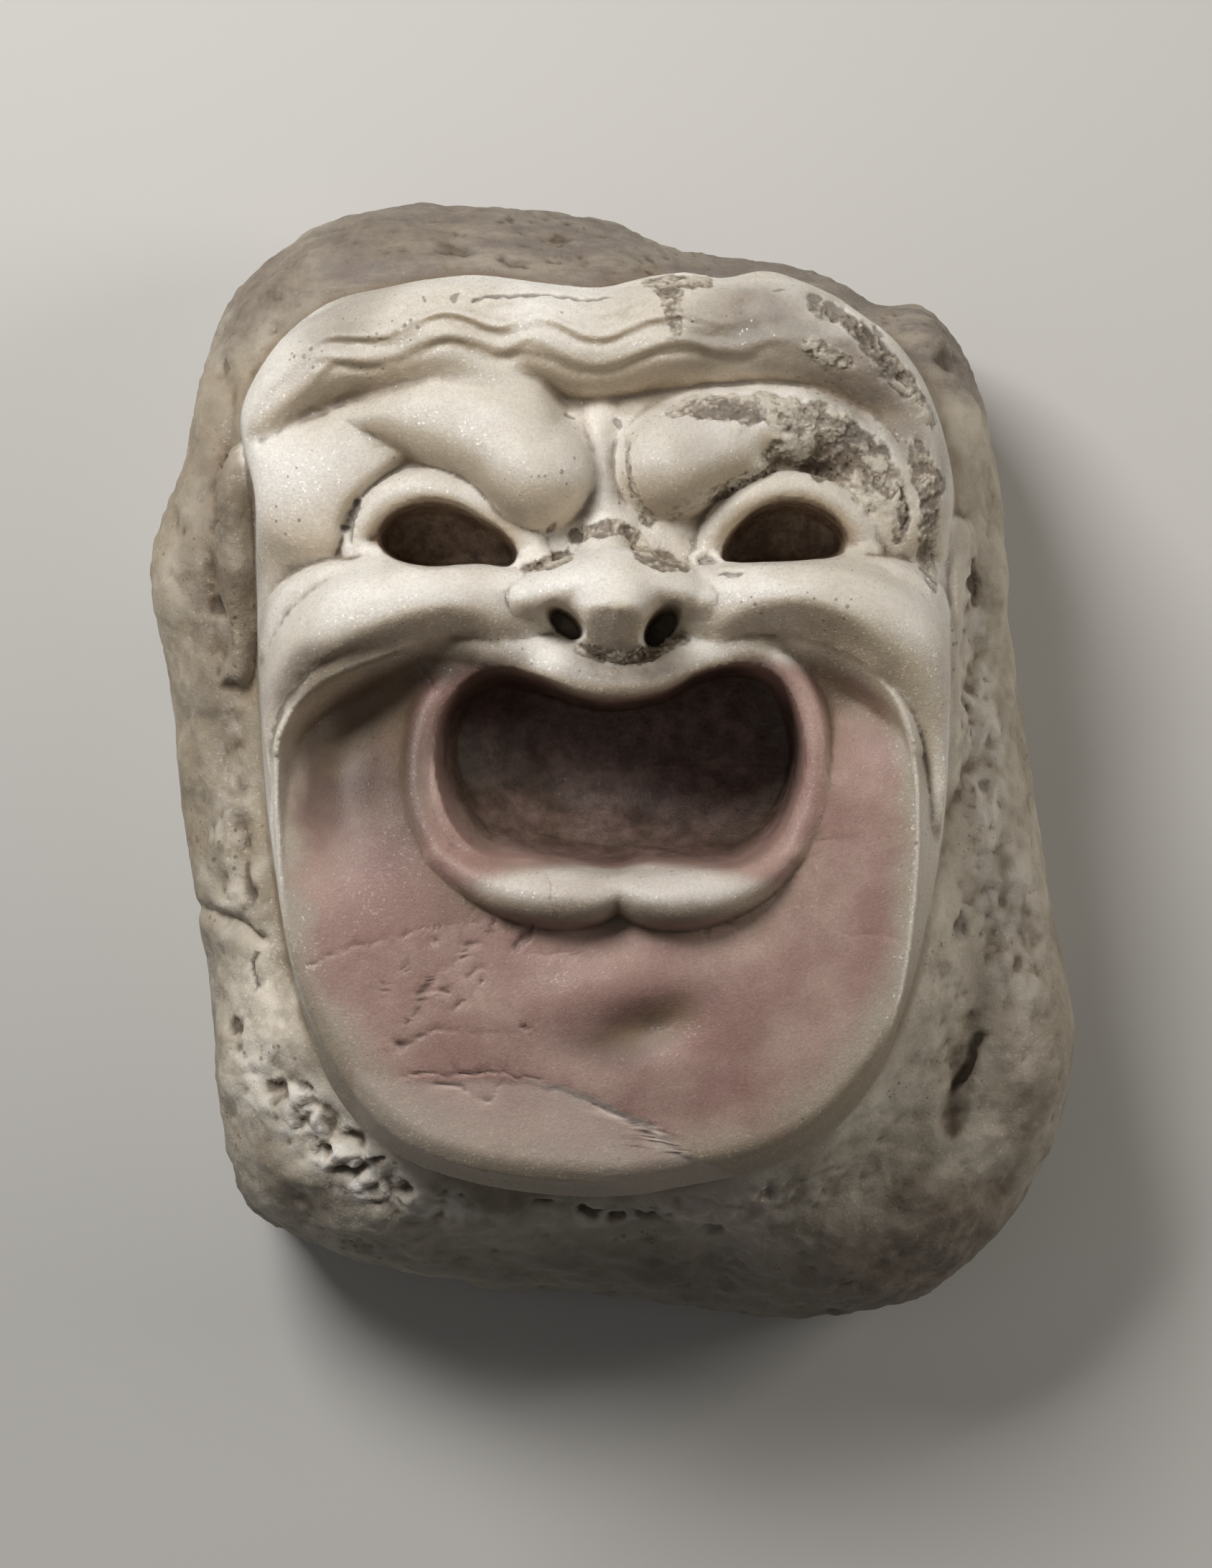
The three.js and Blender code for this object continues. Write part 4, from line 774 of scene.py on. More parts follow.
# Crusts and broken skin: x, y, half width, strength along a line
CRUSTS = [
    [[22, 129, 3, 0.7], [31, 131, 5, 0.9], [42, 131.5, 6, 1], [56, 131, 7, 1], [70, 127.5, 9, 1],
     [84, 122, 10, 1], [95, 114, 9, 1], [103, 103, 7, 1], [107, 92, 5, 0.9], [107, 84, 3, 0.7]],
    [[62, 117, 5, 0.8], [75, 113, 7, 1], [88, 107, 7, 1], [97, 98, 6, 0.9]],
    [[22, 92, 3, 0.5], [33, 98, 2, 0.5], [42, 101, 2.5, 0.7], [50, 106, 3.5, 0.8], [58, 112, 5, 0.9]],
    [[6, 121, 1.5, 0.5], [6, 110, 1.5, 0.6], [9, 98, 2, 0.6], [13, 91, 4, 0.8]],
    [[-14, 85, 3, 0.9], [-6, 87, 3, 0.9], [2, 88, 3.5, 1], [9, 85, 4, 1], [12, 78, 4, 1], [19, 74, 5, 1],
     [27, 73, 3, 0.8]],
    [[-31, 71.5, 2.5, 0.8], [-23, 74, 3.5, 1], [-16, 77, 3, 0.9]],
    [[114, 118, 4, 0.7], [117, 108, 6, 1], [119, 96, 5, 0.9], [118, 82, 4, 0.7], [120, 66, 3, 0.6]],
    [[14, 178.5, 3, 0.8], [24, 179.5, 3, 1], [36, 179, 3, 0.8]],
    [[19, 178, 4, 1], [22, 170, 5, 1], [24, 160, 3.5, 0.9]],
    [[74, 154, 4, 1], [80, 151, 5, 1], [86, 149, 3, 0.8]],
    [[75, 168, 4, 0.6], [90, 162, 4, 0.8], [101, 150, 4.5, 0.9], [112, 140, 4, 0.8], [119, 128, 3, 0.6]],
    [[-12, 43, 2, 0.6], [2, 39, 3, 0.8], [14, 41, 4, 0.9], [26, 46, 3, 0.6]],
]
# Sharp grooves between the strands of hair: x, y
STRAND_LINES = [
    [[-76.5, 164.3], [-66, 167.3], [-58, 168.8], [-46, 166.3], [-36, 163.3], [-28, 165.3], [-20, 165.3],
     [-12, 162.3], [0.5, 162], [8.6, 166.3], [18.7, 169.4]],
    [[-109, 156], [-95, 155], [-82.5, 156], [-72.4, 161.3], [-62.3, 163.3], [-52, 161.3], [-40, 157.2],
     [-28, 160.3], [-20, 159.2], [-12, 155.2], [-1.5, 154.2], [8.6, 159.2], [16.7, 161.3], [29, 158.2],
     [49, 156.2]],
    [[-113, 146], [-105, 148], [-93, 146], [-78.5, 148], [-70.4, 152], [-60, 155], [-50, 153], [-40, 149],
     [-32, 150], [-22, 148], [-12, 144], [0.5, 145], [14.7, 150], [29, 151], [39, 149], [51, 149],
     [61, 154]],
]
# Where the rough block is paler than the rest of it, partly paler stone and partly painted light, as on the
# lumps at the lower left: x, y, half length, half width, turn in degrees, how much
PALE_AND_PAINTED_LIGHT = [
    [-132, -98, 20, 44, -8, 1.0], [-106, -140, 42, 20, -38, 0.9], [126, -78, 18, 62, 10, 0.9],
    [102, -128, 30, 20, 42, 0.75], [-152, -45, 8, 34, 0, 0.2], [134, 70, 7, 60, 0, 0.5],
    [138, -5, 14, 42, 0, 0.9],
]
# Where the marble is painted brown, partly its real stains and weathering and partly painted shade, as under
# the cheeks and the nose, below the lower lip and in the chin dimple: x, y, half length, half width, turn in
# degrees, how much
STAIN_AND_SHADE_PATCHES = [
    [-72, 34, 30, 9, 18, 0.9], [84, 31, 18, 10, -25, 0.5], [8, 36, 30, 8, 0, 0.95],
    [-40, 38, 14, 8, 20, 0.6], [50, 155, 34, 14, -6, 0.6], [92, 146, 24, 22, -42, 0.85],
    [113, 122, 12, 22, 20, 0.7], [5, -47, 60, 12, 0, 0.15], [0, -54, 56, 6, 0, 0.4],
    [-100, 40, 22, 8, 12, 0.3], [12, -98, 20, 9, 20, 0.45], [-38, 92, 6, 16, 40, 0.35],
    [30, 120, 14, 9, 30, 0.2], [-88, 44, 30, 6, 16, 0.4], [-114, 32, 16, 9, 36, 0.8],
    [-100, 164, 24, 13, 34, 0.5], [56, 168, 32, 11, -6, 0.7], [-119, 177, 17, 12, 42, 0.6],
    [0, -105, 26, 9, 0, 0.4], [-134, 188, 24, 32, -40, 0.9], [-152, 60, 14, 90, 0, 0.55],
    [-95, 205, 60, 14, 4, 0.5], [158, -100, 26, 60, 12, 0.45], [120, -190, 55, 28, 25, 0.85],
    [40, -205, 60, 20, 5, 0.4], [-133, 40, 5, 60, 0, 0.25],
]
# The step across the chin where a flake of stone has come away, and how far the skin below it is set back
FLAKE_EDGE = [
    [-95, -110, 0], [-86, -112, 0.1], [-77, -115, 0.3], [-60, -114.5, 0.5], [-45, -114, 0.6],
    [-33, -114.5, 0.8], [-26, -116, 1.2], [-18.5, -117.6, 1.5], [-11, -120, 1.7], [-3, -123.7, 1.8],
    [4, -127.3, 1.8], [12, -131, 1.8], [17, -134.3, 1.7], [22.6, -139, 1.6], [28.7, -144, 1.4],
    [37, -147.5, 1.0], [46, -152, 0.5], [54, -157, 0],
]


# How far from a line its damage is worked out; the strands have one margin along x and one along y
CRACK_MARGIN = 8
CRUST_MARGIN = 16
STRAND_MARGIN = (4, 6)


def cells(x, y, z, size, seed):
    """distance to the nearest of scattered points, one in each cube: 0 at a point, near 1 between them"""
    px, py, pz = x / size, y / size, z / size
    i, j, k = (np.floor(p).astype(np.int64) for p in (px, py, pz))
    best = np.full(np.shape(x), 9.0)
    for a in (-1, 0, 1):
        for b in (-1, 0, 1):
            for c in (-1, 0, 1):
                corner = i + a, j + b, k + c
                place = [corner[n] + 0.5 + 0.45 * lattice(*corner, seed + n) for n in range(3)]
                best = np.minimum(best, (place[0] - px) ** 2 + (place[1] - py) ** 2 + (place[2] - pz) ** 2)
    return np.sqrt(best)


def grain(x, y, z, size, seed, layers=3):
    """uneven lumps on several scales, between about -1 and 1"""
    total, strength = 0, 1.0
    for layer in range(layers):
        total = total + strength * lumps(x, y, z, size, seed + layer)
        size, strength = size * 0.5, strength * 0.55
    return total


def flat_grain(x, y, size, seed, layers=2):
    """grain that is the same at every height"""
    return grain(x, y, 0 * x, size, seed, layers)


def line_share(rows, x, y):
    """distance to a line and the numbers carried there"""
    distance, left, _, values = nearest(curve(rows, False, 3), x, y)
    return distance, left, values[2:]


def damage(x, y):
    """depth of the cracks, strands and chips, how dark they are, and how far the skin is crusted"""
    wx = x + 0.9 * flat_grain(x, y, 5.0, 21)
    wy = y + 0.9 * flat_grain(x, y, 5.0, 31)
    depth = np.zeros(x.shape)
    dark = np.zeros(x.shape)
    uneven = 0.55 + 0.45 * lumps(x, y, 0 * x, 2.2, 41)
    for rows in CRACKS:
        near = around(rows, x, y, CRACK_MARGIN)
        if not near.any():
            continue
        distance, _, (width, deep) = line_share(rows, wx[near], wy[near])
        share = np.exp(-((distance / (width * (0.6 + 0.6 * uneven[near]))) ** 2))
        if rows[0][3] > 0:
            depth[near] = np.maximum(depth[near], deep * share * uneven[near] * 1.4)
        else:
            depth[near] = depth[near] - np.abs(deep) * share
        dark[near] = np.maximum(dark[near], share * np.clip(deep, 0, 1))
    for rows in STRAND_LINES:
        near = around(rows, x, y, STRAND_MARGIN)
        if not near.any():
            continue
        distance, left, _ = line_share(rows, x[near], y[near])
        first, last = rows[0][0], rows[-1][0]
        fade = smooth(first - 3, first + 9, x[near]) * smooth(last + 2, last - 14, x[near])
        raised = 0.5 * (left > 0) * np.exp(-(((distance - 3.4) / 1.9) ** 2))
        groove = np.exp(-((distance / 1.7) ** 2)) - raised
        depth[near] += 0.9 * fade * groove * (0.6 + 0.5 * uneven[near])
    for cx, cy, half_length, half_width, turn, deep in CHIPS:
        near = np.hypot(x - cx, y - cy) < 2.5 * max(half_length, half_width)
        if not near.any():
            continue
        share = ellipse_share(wx[near], wy[near], cx, cy, half_length, half_width, turn)
        share = share + 0.25 * flat_grain(x[near], y[near], 3.0, 51)
        chip = smooth(1.1, 0.75, share)
        depth[near] += deep * chip * (0.75 + 0.35 * flat_grain(x[near], y[near], 2.5, 55))
        dark[near] = np.maximum(dark[near], chip * 0.75)
    crust = np.zeros(x.shape)
    patchy = 1 + 0.35 * flat_grain(x, y, 7.0, 61, 3)
    for rows in CRUSTS:
        near = around(rows, x, y, CRUST_MARGIN)
        if not near.any():
            continue
        distance, _, (width, strength) = line_share(rows, x[near], y[near])
        crust[near] = np.maximum(crust[near], strength * smooth(1.15, 0.6, distance / width / patchy[near]))
    return depth, dark, crust


def flake(x, y):
    """how far the skin of the chin is set back where the flake has gone, and the bright break at its edge"""
    wx = x + 0.8 * flat_grain(x, y, 6.0, 71)
    wy = y + 0.8 * flat_grain(x, y, 6.0, 75)
    near = (x > -95) & (x < 60) & (y < -104)
    back = np.zeros(x.shape)
    fresh = np.zeros(x.shape)
    if near.any():
        edge_x, edge_y, edge_depth = np.array(FLAKE_EDGE).T
        distance = 0.85 * (np.interp(wx[near], edge_x, edge_y) - wy[near])
        deep = np.interp(wx[near], edge_x, edge_depth, 0, 0)
        below = distance > 0
        fading = 1 - smooth(4, 40, distance)
        back[near] = np.where(below, deep * smooth(-0.3, 3.2, distance) * fading, 0)
        white = smooth(6.0, 3.4, distance + 1.6 * flat_grain(x[near], y[near], 3.0, 79))
        white = white * smooth(0.0, 0.7, distance) * smooth(0.6, 1.5, deep)
        dull = 0.4 * smooth(0.3, 3, distance) * smooth(38, 18, distance)
        fresh[near] = np.where(below, np.maximum(white, dull), 0)
    return back, fresh


def patches(rows, x, y, z, seed):
    """how far a place lies in any of the ragged patches"""
    share = np.zeros(x.shape)
    ragged = 0.22 * grain(x, y, z, 16.0, seed, 3)
    for cx, cy, half_length, half_width, turn, much in rows:
        share_here = ellipse_share(x, y, cx, cy, half_length, half_width, turn) + ragged
        patch = much * smooth(1.25, 0.35, share_here)
        share = 1 - (1 - share) * (1 - patch)
    return share * smooth(20, 60, z)


def block_detail(x, y, z):
    """how far the rough block stands out at a place, how dark its hollows are, partly dirt and partly painted
    shade, and how white its peaks, partly a painted highlight
    """
    out = 1.7 * grain(x, y, z, 15.0, 351, 3) + 0.35 * grain(x, y, z, 3.2, 357, 2)
    dark = np.zeros(x.shape)
    peak_white_and_highlight = np.zeros(x.shape)
    wx = x + 2.2 * grain(x, y, z, 7.0, 361, 2)
    wy = y + 2.2 * grain(x, y, z, 7.0, 365, 2)
    peaks = 1 - np.clip(cells(wx, wy, z, 8.0, 371), 0, 1.1)
    sharp = 1 - np.abs(grain(x, y / 1.6, z / 1.6, 6.0, 375, 2))
    for cx, cy, half_length, half_width, turn, deep in PICKED:
        share = smooth(1.2, 0.6, ellipse_share(wx, wy, cx, cy, half_length, half_width, turn))
        out = out + share * deep * (1.1 * (peaks - 0.45) + 0.8 * (sharp - 0.75))
        dark = np.maximum(dark, share * smooth(0.35, 0.15, peaks) * 0.5)
        peak_white_and_highlight = np.maximum(peak_white_and_highlight, share * smooth(0.35, 0.6, peaks) * min(deep / 3.4, 1))
    for cx, cy, half_length, half_width, turn, deep in HOLLOWS:
        share = ellipse_share(wx, wy, cx, cy, half_length, half_width, turn)
        hollow = smooth(1.3, 0.5, share)
        out = out - deep * hollow
        dark = np.maximum(dark, 0.9 * hollow)
    top = smooth(150, 178, y)
    streaks = 1.0 * lumps(x / 6, y, z / 4, 4.5, 381) + 0.6 * lumps(x / 5, y, z / 3, 2.2, 385)
    porous = smooth(-0.1, 0.5, grain(x, y, z, 20, 395, 2))
    pores = smooth(0.45, 0.1, cells(x, 1.4 * y, z, 5.5, 391)) * porous
    out = out + top * (streaks - 1.2 * pores)
    dark = np.maximum(dark, top * 0.6 * pores)
    return out, dark, peak_white_and_highlight * (1 - dark)


# The most triangles at the first thinning and at the end
FIRST_TRIANGLES = 80000
MOST_TRIANGLES = 195000
REFINE_ROUNDS = 3
# How long an edge may be, in millimetres, on each part of the surface
EDGE_HIDDEN = 9.0
EDGE_SEEN = 4.5
EDGE_BLOCK_SIDE = 4.0
EDGE_BLOCK_FRONT = 2.7
EDGE_RIM = 1.3
EDGE_CRUST = 1.1
EDGE_DAMAGE = 0.9
# Heights above which the surface counts as seen, and as side and front of the rough block
SEEN_HEIGHT = 100
BLOCK_SIDE_HEIGHT = 25
BLOCK_FRONT_HEIGHT = 75
# How far the surface stays inside the solid's box, and up to which height it counts as the flat back
BOX_MARGIN = 0.02
BACK_HEIGHT = 0.03
MILLIMETRES = 1000


def mesh_object(name, points, triangles):
    """a mesh in metres from points in millimetres"""
    mesh = bpy.data.meshes.new(name)
    mesh.vertices.add(len(points))
    mesh.vertices.foreach_set("co", (points * 0.001).astype(np.float32).ravel())
    mesh.loops.add(3 * len(triangles))
    mesh.loops.foreach_set("vertex_index", triangles.astype(np.int32).ravel())
    mesh.polygons.add(len(triangles))
    mesh.polygons.foreach_set("loop_start", np.arange(0, 3 * len(triangles), 3, dtype=np.int32))
    mesh.update(calc_edges=True)
    thing = bpy.data.objects.new(name, mesh)
    bpy.context.scene.collection.objects.link(thing)
    return thing


def thin_out(thing, target):
    """joins the ends of edges, where it shows least, down to a number of triangles"""
    faces = len(thing.data.polygons)
    if faces > target:
        thinning = thing.modifiers.new("thin out", "DECIMATE")
        thinning.ratio = target / faces
        bpy.context.view_layer.objects.active = thing
        bpy.ops.object.modifier_apply(modifier=thinning.name)


def taken_apart(thing):
    """the points in millimetres and the triangles of a mesh that is no longer needed"""
    mesh = thing.data
    places = np.empty(3 * len(mesh.vertices), np.float32)
    mesh.vertices.foreach_get("co", places)
    corners = np.empty(len(mesh.loops), np.int32)
    mesh.loops.foreach_get("vertex_index", corners)
    bpy.data.objects.remove(thing)
    bpy.data.meshes.remove(mesh)
    return places.reshape(-1, 3).astype(float) * 1000, corners.reshape(-1, 3).astype(np.int64)


def neighbours_mean(triangles, values, rounds):
    """the values of each vertex averaged with its neighbours, several times"""
    a = np.concatenate([triangles[:, 0], triangles[:, 1], triangles[:, 2]])
    b = np.concatenate([triangles[:, 1], triangles[:, 2], triangles[:, 0]])
    count = np.bincount(a, minlength=len(values)) + np.bincount(b, minlength=len(values))
    for _ in range(rounds):
        total = np.bincount(a, values[b], len(values)) + np.bincount(b, values[a], len(values))
        values = 0.5 * values + 0.5 * total / count
    return values


def hollowness(points, triangles, normals, rounds):
    """how far each place lies below its surroundings, in millimetres"""
    around = np.stack([neighbours_mean(triangles, points[:, axis], rounds) for axis in range(3)], 1)
    return ((around - points) * normals).sum(axis=1)


damage_depth, _, crust_map = damage(grid_x, grid_y)
flake_map, fresh_map = flake(grid_x, grid_y)
flake_step = np.hypot(*np.gradient(flake_map)) > 0.02
fine_map = np.maximum(np.maximum(np.abs(damage_depth) > 0.06, flake_step), fresh_map > 0.1) * 1.0


def wanted_length(middle):
    """how long an edge may be at a place"""
    x, y, z = middle.T
    seen = z > SEEN_HEIGHT
    rough = block_share(x, y, z) > 0.3
    near_rim = (np.abs(read_map(outline_maps[1], x, y) + 1) < 3.5) & (y < 44) & (y > -130)
    length = np.where(seen, EDGE_SEEN, EDGE_HIDDEN)
    length[rough & (z > BLOCK_SIDE_HEIGHT)] = EDGE_BLOCK_SIDE
    length[rough & (z > BLOCK_FRONT_HEIGHT)] = EDGE_BLOCK_FRONT
    length[seen & (read_map(crust_map, x, y) > 0.1)] = EDGE_CRUST
    length[seen & near_rim] = EDGE_RIM
    length[seen & (read_map(fine_map, x, y) > 0.2)] = EDGE_DAMAGE
    return length


def carve_detail(points, triangles):
    """the surface with its damage, crusts and tooling, and how much of each there is at each place"""
    normals = vertex_normals(points, triangles)
    x, y, z = points.T
    depth, dark, crust = damage(x, y)
    back, fresh = flake(x, y)
    front = smooth(90, 110, z)
    stone = block_share(x, y, z)
    crumbs = 1 - np.clip(cells(x, y, z, 4.2, 301), 0, 1.2)
    crumbs_small = 1 - np.clip(cells(x, y, z, 1.9, 305), 0, 1.2)
    in_out = -front * (depth + back)
    flakes = 1.6 * grain(x, y, z, 6.5, 311, 4)
    terraces = np.floor(flakes) + smooth(0.25, 0.6, flakes - np.floor(flakes))
    crumbly = 0.75 * terraces + 0.7 * (crumbs_small - 0.5) + 0.5 * (crumbs - 0.5) - 0.3
    in_out = in_out + front * crust * crumbly
    rim = read_map(outline_maps[1], x, y)
    low_rim = smooth(47, 38, y) * smooth(-128, -85, y) * front
    left = smooth(-30, -60, x)
    off_edge = rim - 0.4 * left + 0.6 * (1 - left)
    edge = np.exp(-(off_edge**2)) * low_rim * np.maximum(left, smooth(24, 16, y))
    bead = edge * (0.5 + 0.45 * left * smooth(-30, -8, y))
    groove = np.exp(-(((rim - 4.2) / 2.0) ** 2)) * low_rim * left * smooth(-22, -8, y)
    in_out = in_out + bead - 1.7 * groove
    skin = 0.10 * grain(x, y, z, 6, 311, 2)
    in_out = in_out + skin * (1 - stone)
    block, block_dirt_and_shade, peak_white_and_highlight = block_detail(x, y, z)
    in_out = in_out + stone * block
    moved = points + normals * in_out[:, None]
    moved[points[:, 2] < 0.01, 2] = 0
    shares = {"stone": stone, "crust": crust * front, "crack": dark * front, "fresh": fresh * front}
    shares["pit"] = block_dirt_and_shade * stone
    shares["crumb"] = np.clip(0.45 + 0.22 * terraces + 0.45 * (crumbs_small - 0.5), 0, 1)
    # The rim's edge line, painted cream in the shader: partly the rim's cream stone, partly a painted
    # highlight along the bead
    shares["edge"] = edge * (1 - stone)
    shares["peak_white_and_highlight"] = peak_white_and_highlight * stone
    return moved, shares


points, triangles = make_mask()
draft = mesh_object("draft", points, triangles)
thin_out(draft, FIRST_TRIANGLES)
points, triangles = taken_apart(draft)
for _ in range(REFINE_ROUNDS):
    points, triangles = refine(points, triangles, wanted_length)
points, shares = carve_detail(points, triangles)

# Keeps the stone inside the size of the solid
low, high = (np.array(corner) * MILLIMETRES for corner in cad_box)
points = np.clip(points, low + BOX_MARGIN, high - BOX_MARGIN)
points[points[:, 2] < BACK_HEIGHT, 2] = 0.0
mask = mesh_object("marble_mask_carved", points, triangles)

# What the shader needs to know about each place
crust_at = shares["crust"]
normals = vertex_normals(points, triangles)
x, y, z = points.T
rim = read_map(outline_maps[1], x, y)
cheek_edge = 46 - 30 * (np.abs(x) / 120) ** 4
under_cheeks = smooth(-2, 10, cheek_edge - y + 2.5 * flat_grain(x, y, 12, 401))
upper_lip = smooth(1.15, 0.8, ellipse_share(x, y, 7, 36, 42, 12, 0)) * smooth(180, 188, z)
lower_lip = smooth(1.2, 0.8, ellipse_share(x, y, 3, -47, 56, 11, 0)) * smooth(170, 178, z)
ragged_rim = -rim + 3.5 * flat_grain(x, y, 14, 403, 3)
off_lips = (1 - upper_lip) * (1 - 0.85 * lower_lip)
pink = smooth(2, 11 + 14 * smooth(-50, -120, y), ragged_rim) * under_cheeks * off_lips
beside = smooth(-3, 2, rim)
shares["khaki"] = under_cheeks * off_lips * (0.8 * (1 - beside) + 0.9 * beside * smooth(-20, -95, y))
head = read_map(outline_maps[0], x, y)
outer = smooth(0.3, 3.2, np.minimum(head, rim) + 0.4 * np.clip(108 - z, 0, 60)) * smooth(0, 6, z)
shares["stone"] = np.maximum(outer, smooth(0, 6, BACK_BAND - z) * (z < BACK_BAND))
shares["pink"] = pink * (1 - shares["stone"]) * (0.93 + 0.07 * grain(x, y, z, 20, 405, 2))
ragged = 4 * grain(x, y, z, 14, 411, 2)
shares["top"] = shares["stone"] * smooth(148, 160, y + 0.1 * x + ragged) * smooth(-122, -104, x + ragged)
in_mouth = smooth(184, 150, z) * smooth(1.1, 0.95, ellipse_share(x, y, 3, 2, 72, 44, 0))
# Painted shade in the mouth, partly dirt: the cavity is painted dark, darker towards its top
shares["inside"] = (0.86 + 0.12 * smooth(-25, 30, y + 0.2 * x)) * in_mouth
shares["eye"] = 0 * x
for eye_x in (-61, 65):
    near_eye = smooth(1.15, 1.0, ellipse_share(x, y, eye_x, 86, 28, 14, 0))
    shares["eye"] = np.maximum(shares["eye"], near_eye * smooth(174, 167, z))
shares["hollow"] = np.clip(0.5 + hollowness(points, triangles, normals, 6) / 1.2, 0, 1)
shares["deep"] = np.clip(0.5 + hollowness(points, triangles, normals, 60) / 8, 0, 1)
sides = smooth(70, 125, np.abs(x + 4)) * smooth(-185, -140, y)
upper_left = smooth(0, -60, x) * smooth(-80, -30, y)
shares["ochre"] = shares["stone"] * sides * smooth(175, 150, y) * (0.35 + 0.45 * upper_left)
shares["pale_and_painted_light"] = shares["stone"] * patches(PALE_AND_PAINTED_LIGHT, x, y, z, 431)
# Painted shade: the surfaces of the mask that face downwards are tinted darker and warmer
shares["below"] = smooth(-0.05, 0.6, neighbours_mean(triangles, -normals[:, 1], 8)) * (1 - shares["stone"])
# Painted shade: the rough block is darker towards its bottom and on its low parts below the chin
painted_low_shade = 0.8 * smooth(110, 60, z) * smooth(-60, -120, y)
shares["under"] = shares["stone"] * np.maximum(smooth(-165, -200, y), painted_low_shade)
# Painted shadow: the upper left of the funnel is darkened as if the left cheek shaded it
painted_cheek_shadow = smooth(-46, -4, y + 3 * flat_grain(x, y, 22, 425)) * smooth(-60, -76, x) * shares["pink"]
# Brown stains mixed with painted shade, together with the painted shadow on the funnel
shares["stain_and_painted_shade"] = np.maximum(patches(STAIN_AND_SHADE_PATCHES, x, y, z, 421) * (1 - 0.6 * crust_at), 0.95 * painted_cheek_shadow)
for name, values in shares.items():
    layer = mask.data.attributes.new(name, "FLOAT", "POINT")
    layer.data.foreach_set("value", values.astype(np.float32))
thin_out(mask, MOST_TRIANGLES)
mask.data.shade_smooth()

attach(mask, "root")
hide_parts("marble_mask")


# Marble
class Paint:
    """adds nodes to a material and joins them up"""

    def __init__(self, name):
        self.material = bpy.data.materials.new(name)
        self.material.use_nodes = True
        self.tree = self.material.node_tree
        self.shader = self.tree.nodes["Principled BSDF"]

    def add(self, kind, inputs, **settings):
        made = self.tree.nodes.new(kind)
        for setting, value in settings.items():
            setattr(made, setting, value)
        for socket, value in inputs.items():
            self.feed(made.inputs[socket], value)
        return made

    def feed(self, socket, value):
        if isinstance(value, bpy.types.NodeSocket):
            self.tree.links.new(value, socket)
        else:
            socket.default_value = value

    def share(self, name):
        return self.add("ShaderNodeAttribute", {}, attribute_name=name).outputs["Fac"]

    def noise(self, size, detail=4.0, roughness=0.55, stretch=None):
        """soft noise with lumps of about that many millimetres"""
        place = self.place if stretch is None else self.stretched(stretch)
        inputs = {"Vector": place, "Scale": 1000 / size, "Detail": detail, "Roughness": roughness}
        return self.add("ShaderNodeTexNoise", inputs).outputs["Fac"]

    def stretched(self, stretch):
        return self.add("ShaderNodeMapping", {"Vector": self.place, "Scale": stretch}).outputs["Vector"]

    def step(self, value, low, high, low_to=0.0, high_to=1.0):
        """0 below low, 1 above high, smooth between"""
        inputs = {0: value, 1: low, 2: high, 3: low_to, 4: high_to}
        made = self.add("ShaderNodeMapRange", {}, interpolation_type="SMOOTHSTEP")
        for number, part in inputs.items():
            self.feed(made.inputs[number], part)
        return made.outputs["Result"]

    def sum(self, a, b, operation="ADD"):
        made = self.add("ShaderNodeMath", {}, operation=operation)
        self.feed(made.inputs[0], a)
        self.feed(made.inputs[1], b)
        return made.outputs[0]

    def uneven(self, value, noise, much):
        """a value moved up and down by noise"""
        return self.sum(value, self.times(self.sum(noise, 0.5, "SUBTRACT"), much))

    def times(self, *parts):
        total = parts[0]
        for part in parts[1:]:
            total = self.sum(total, part, "MULTIPLY")
        return total

    def blend(self, share, under, over, kind="MIX"):
        made = self.add("ShaderNodeMix", {}, data_type="RGBA", blend_type=kind)
        self.feed(made.inputs["Factor"], share)
        self.feed(made.inputs[6], under)
        self.feed(made.inputs[7], over)
        return made.outputs[2]


CREAM = (0.60, 0.55, 0.475, 1)
WHITE = (0.80, 0.765, 0.715, 1)
PINK = (0.315, 0.185, 0.16, 1)
PINK_PALE = (0.46, 0.32, 0.275, 1)
HOLLOW_STAIN_AND_SHADE = (0.22, 0.155, 0.09, 1)
DIRT = (0.075, 0.055, 0.038, 1)
CRUST = (0.17, 0.13, 0.09, 1)
CRUST_PALE = (0.52, 0.47, 0.39, 1)
ROUGH_STONE = (0.31, 0.27, 0.215, 1)
ROUGH_PALE = (0.56, 0.51, 0.43, 1)
OCHRE = (0.34, 0.27, 0.18, 1)
KHAKI = (0.29, 0.235, 0.17, 1)
WARM_SHADE = (0.80, 0.69, 0.53, 1)
EYE_BROWN = (0.175, 0.122, 0.085, 1)
EYE_PALE = (0.42, 0.31, 0.22, 1)
PALE_STONE_AND_LIGHT = (0.72, 0.655, 0.555, 1)
TOP_STONE = (0.20, 0.165, 0.14, 1)
CRACK_RED = (0.13, 0.075, 0.06, 1)
FRESH = (0.66, 0.56, 0.50, 1)
MOUTH_DIRT_AND_SHADE = (0.044, 0.024, 0.017, 1)
PATINA_AND_SHADE = (0.15, 0.115, 0.085, 1)
PALE_PATINA_AND_SHADE = (0.27, 0.22, 0.17, 1)
PINK_PATINA_AND_SHADE = (0.062, 0.038, 0.026, 1)
BOTTOM_PAINTED_SHADE = (0.17, 0.145, 0.115, 1)

p = Paint("white_marble")
p.place = p.add("ShaderNodeTexCoord", {}).outputs["Object"]
hollow, deep = p.share("hollow"), p.share("deep")
stone, crust = p.share("stone"), p.share("crust")
crack, fresh, pink, top, mouth_dirt_and_shade_share = (p.share(n) for n in ("crack", "fresh", "pink", "top", "inside"))
pit, ochre = p.share("pit"), p.share("ochre")

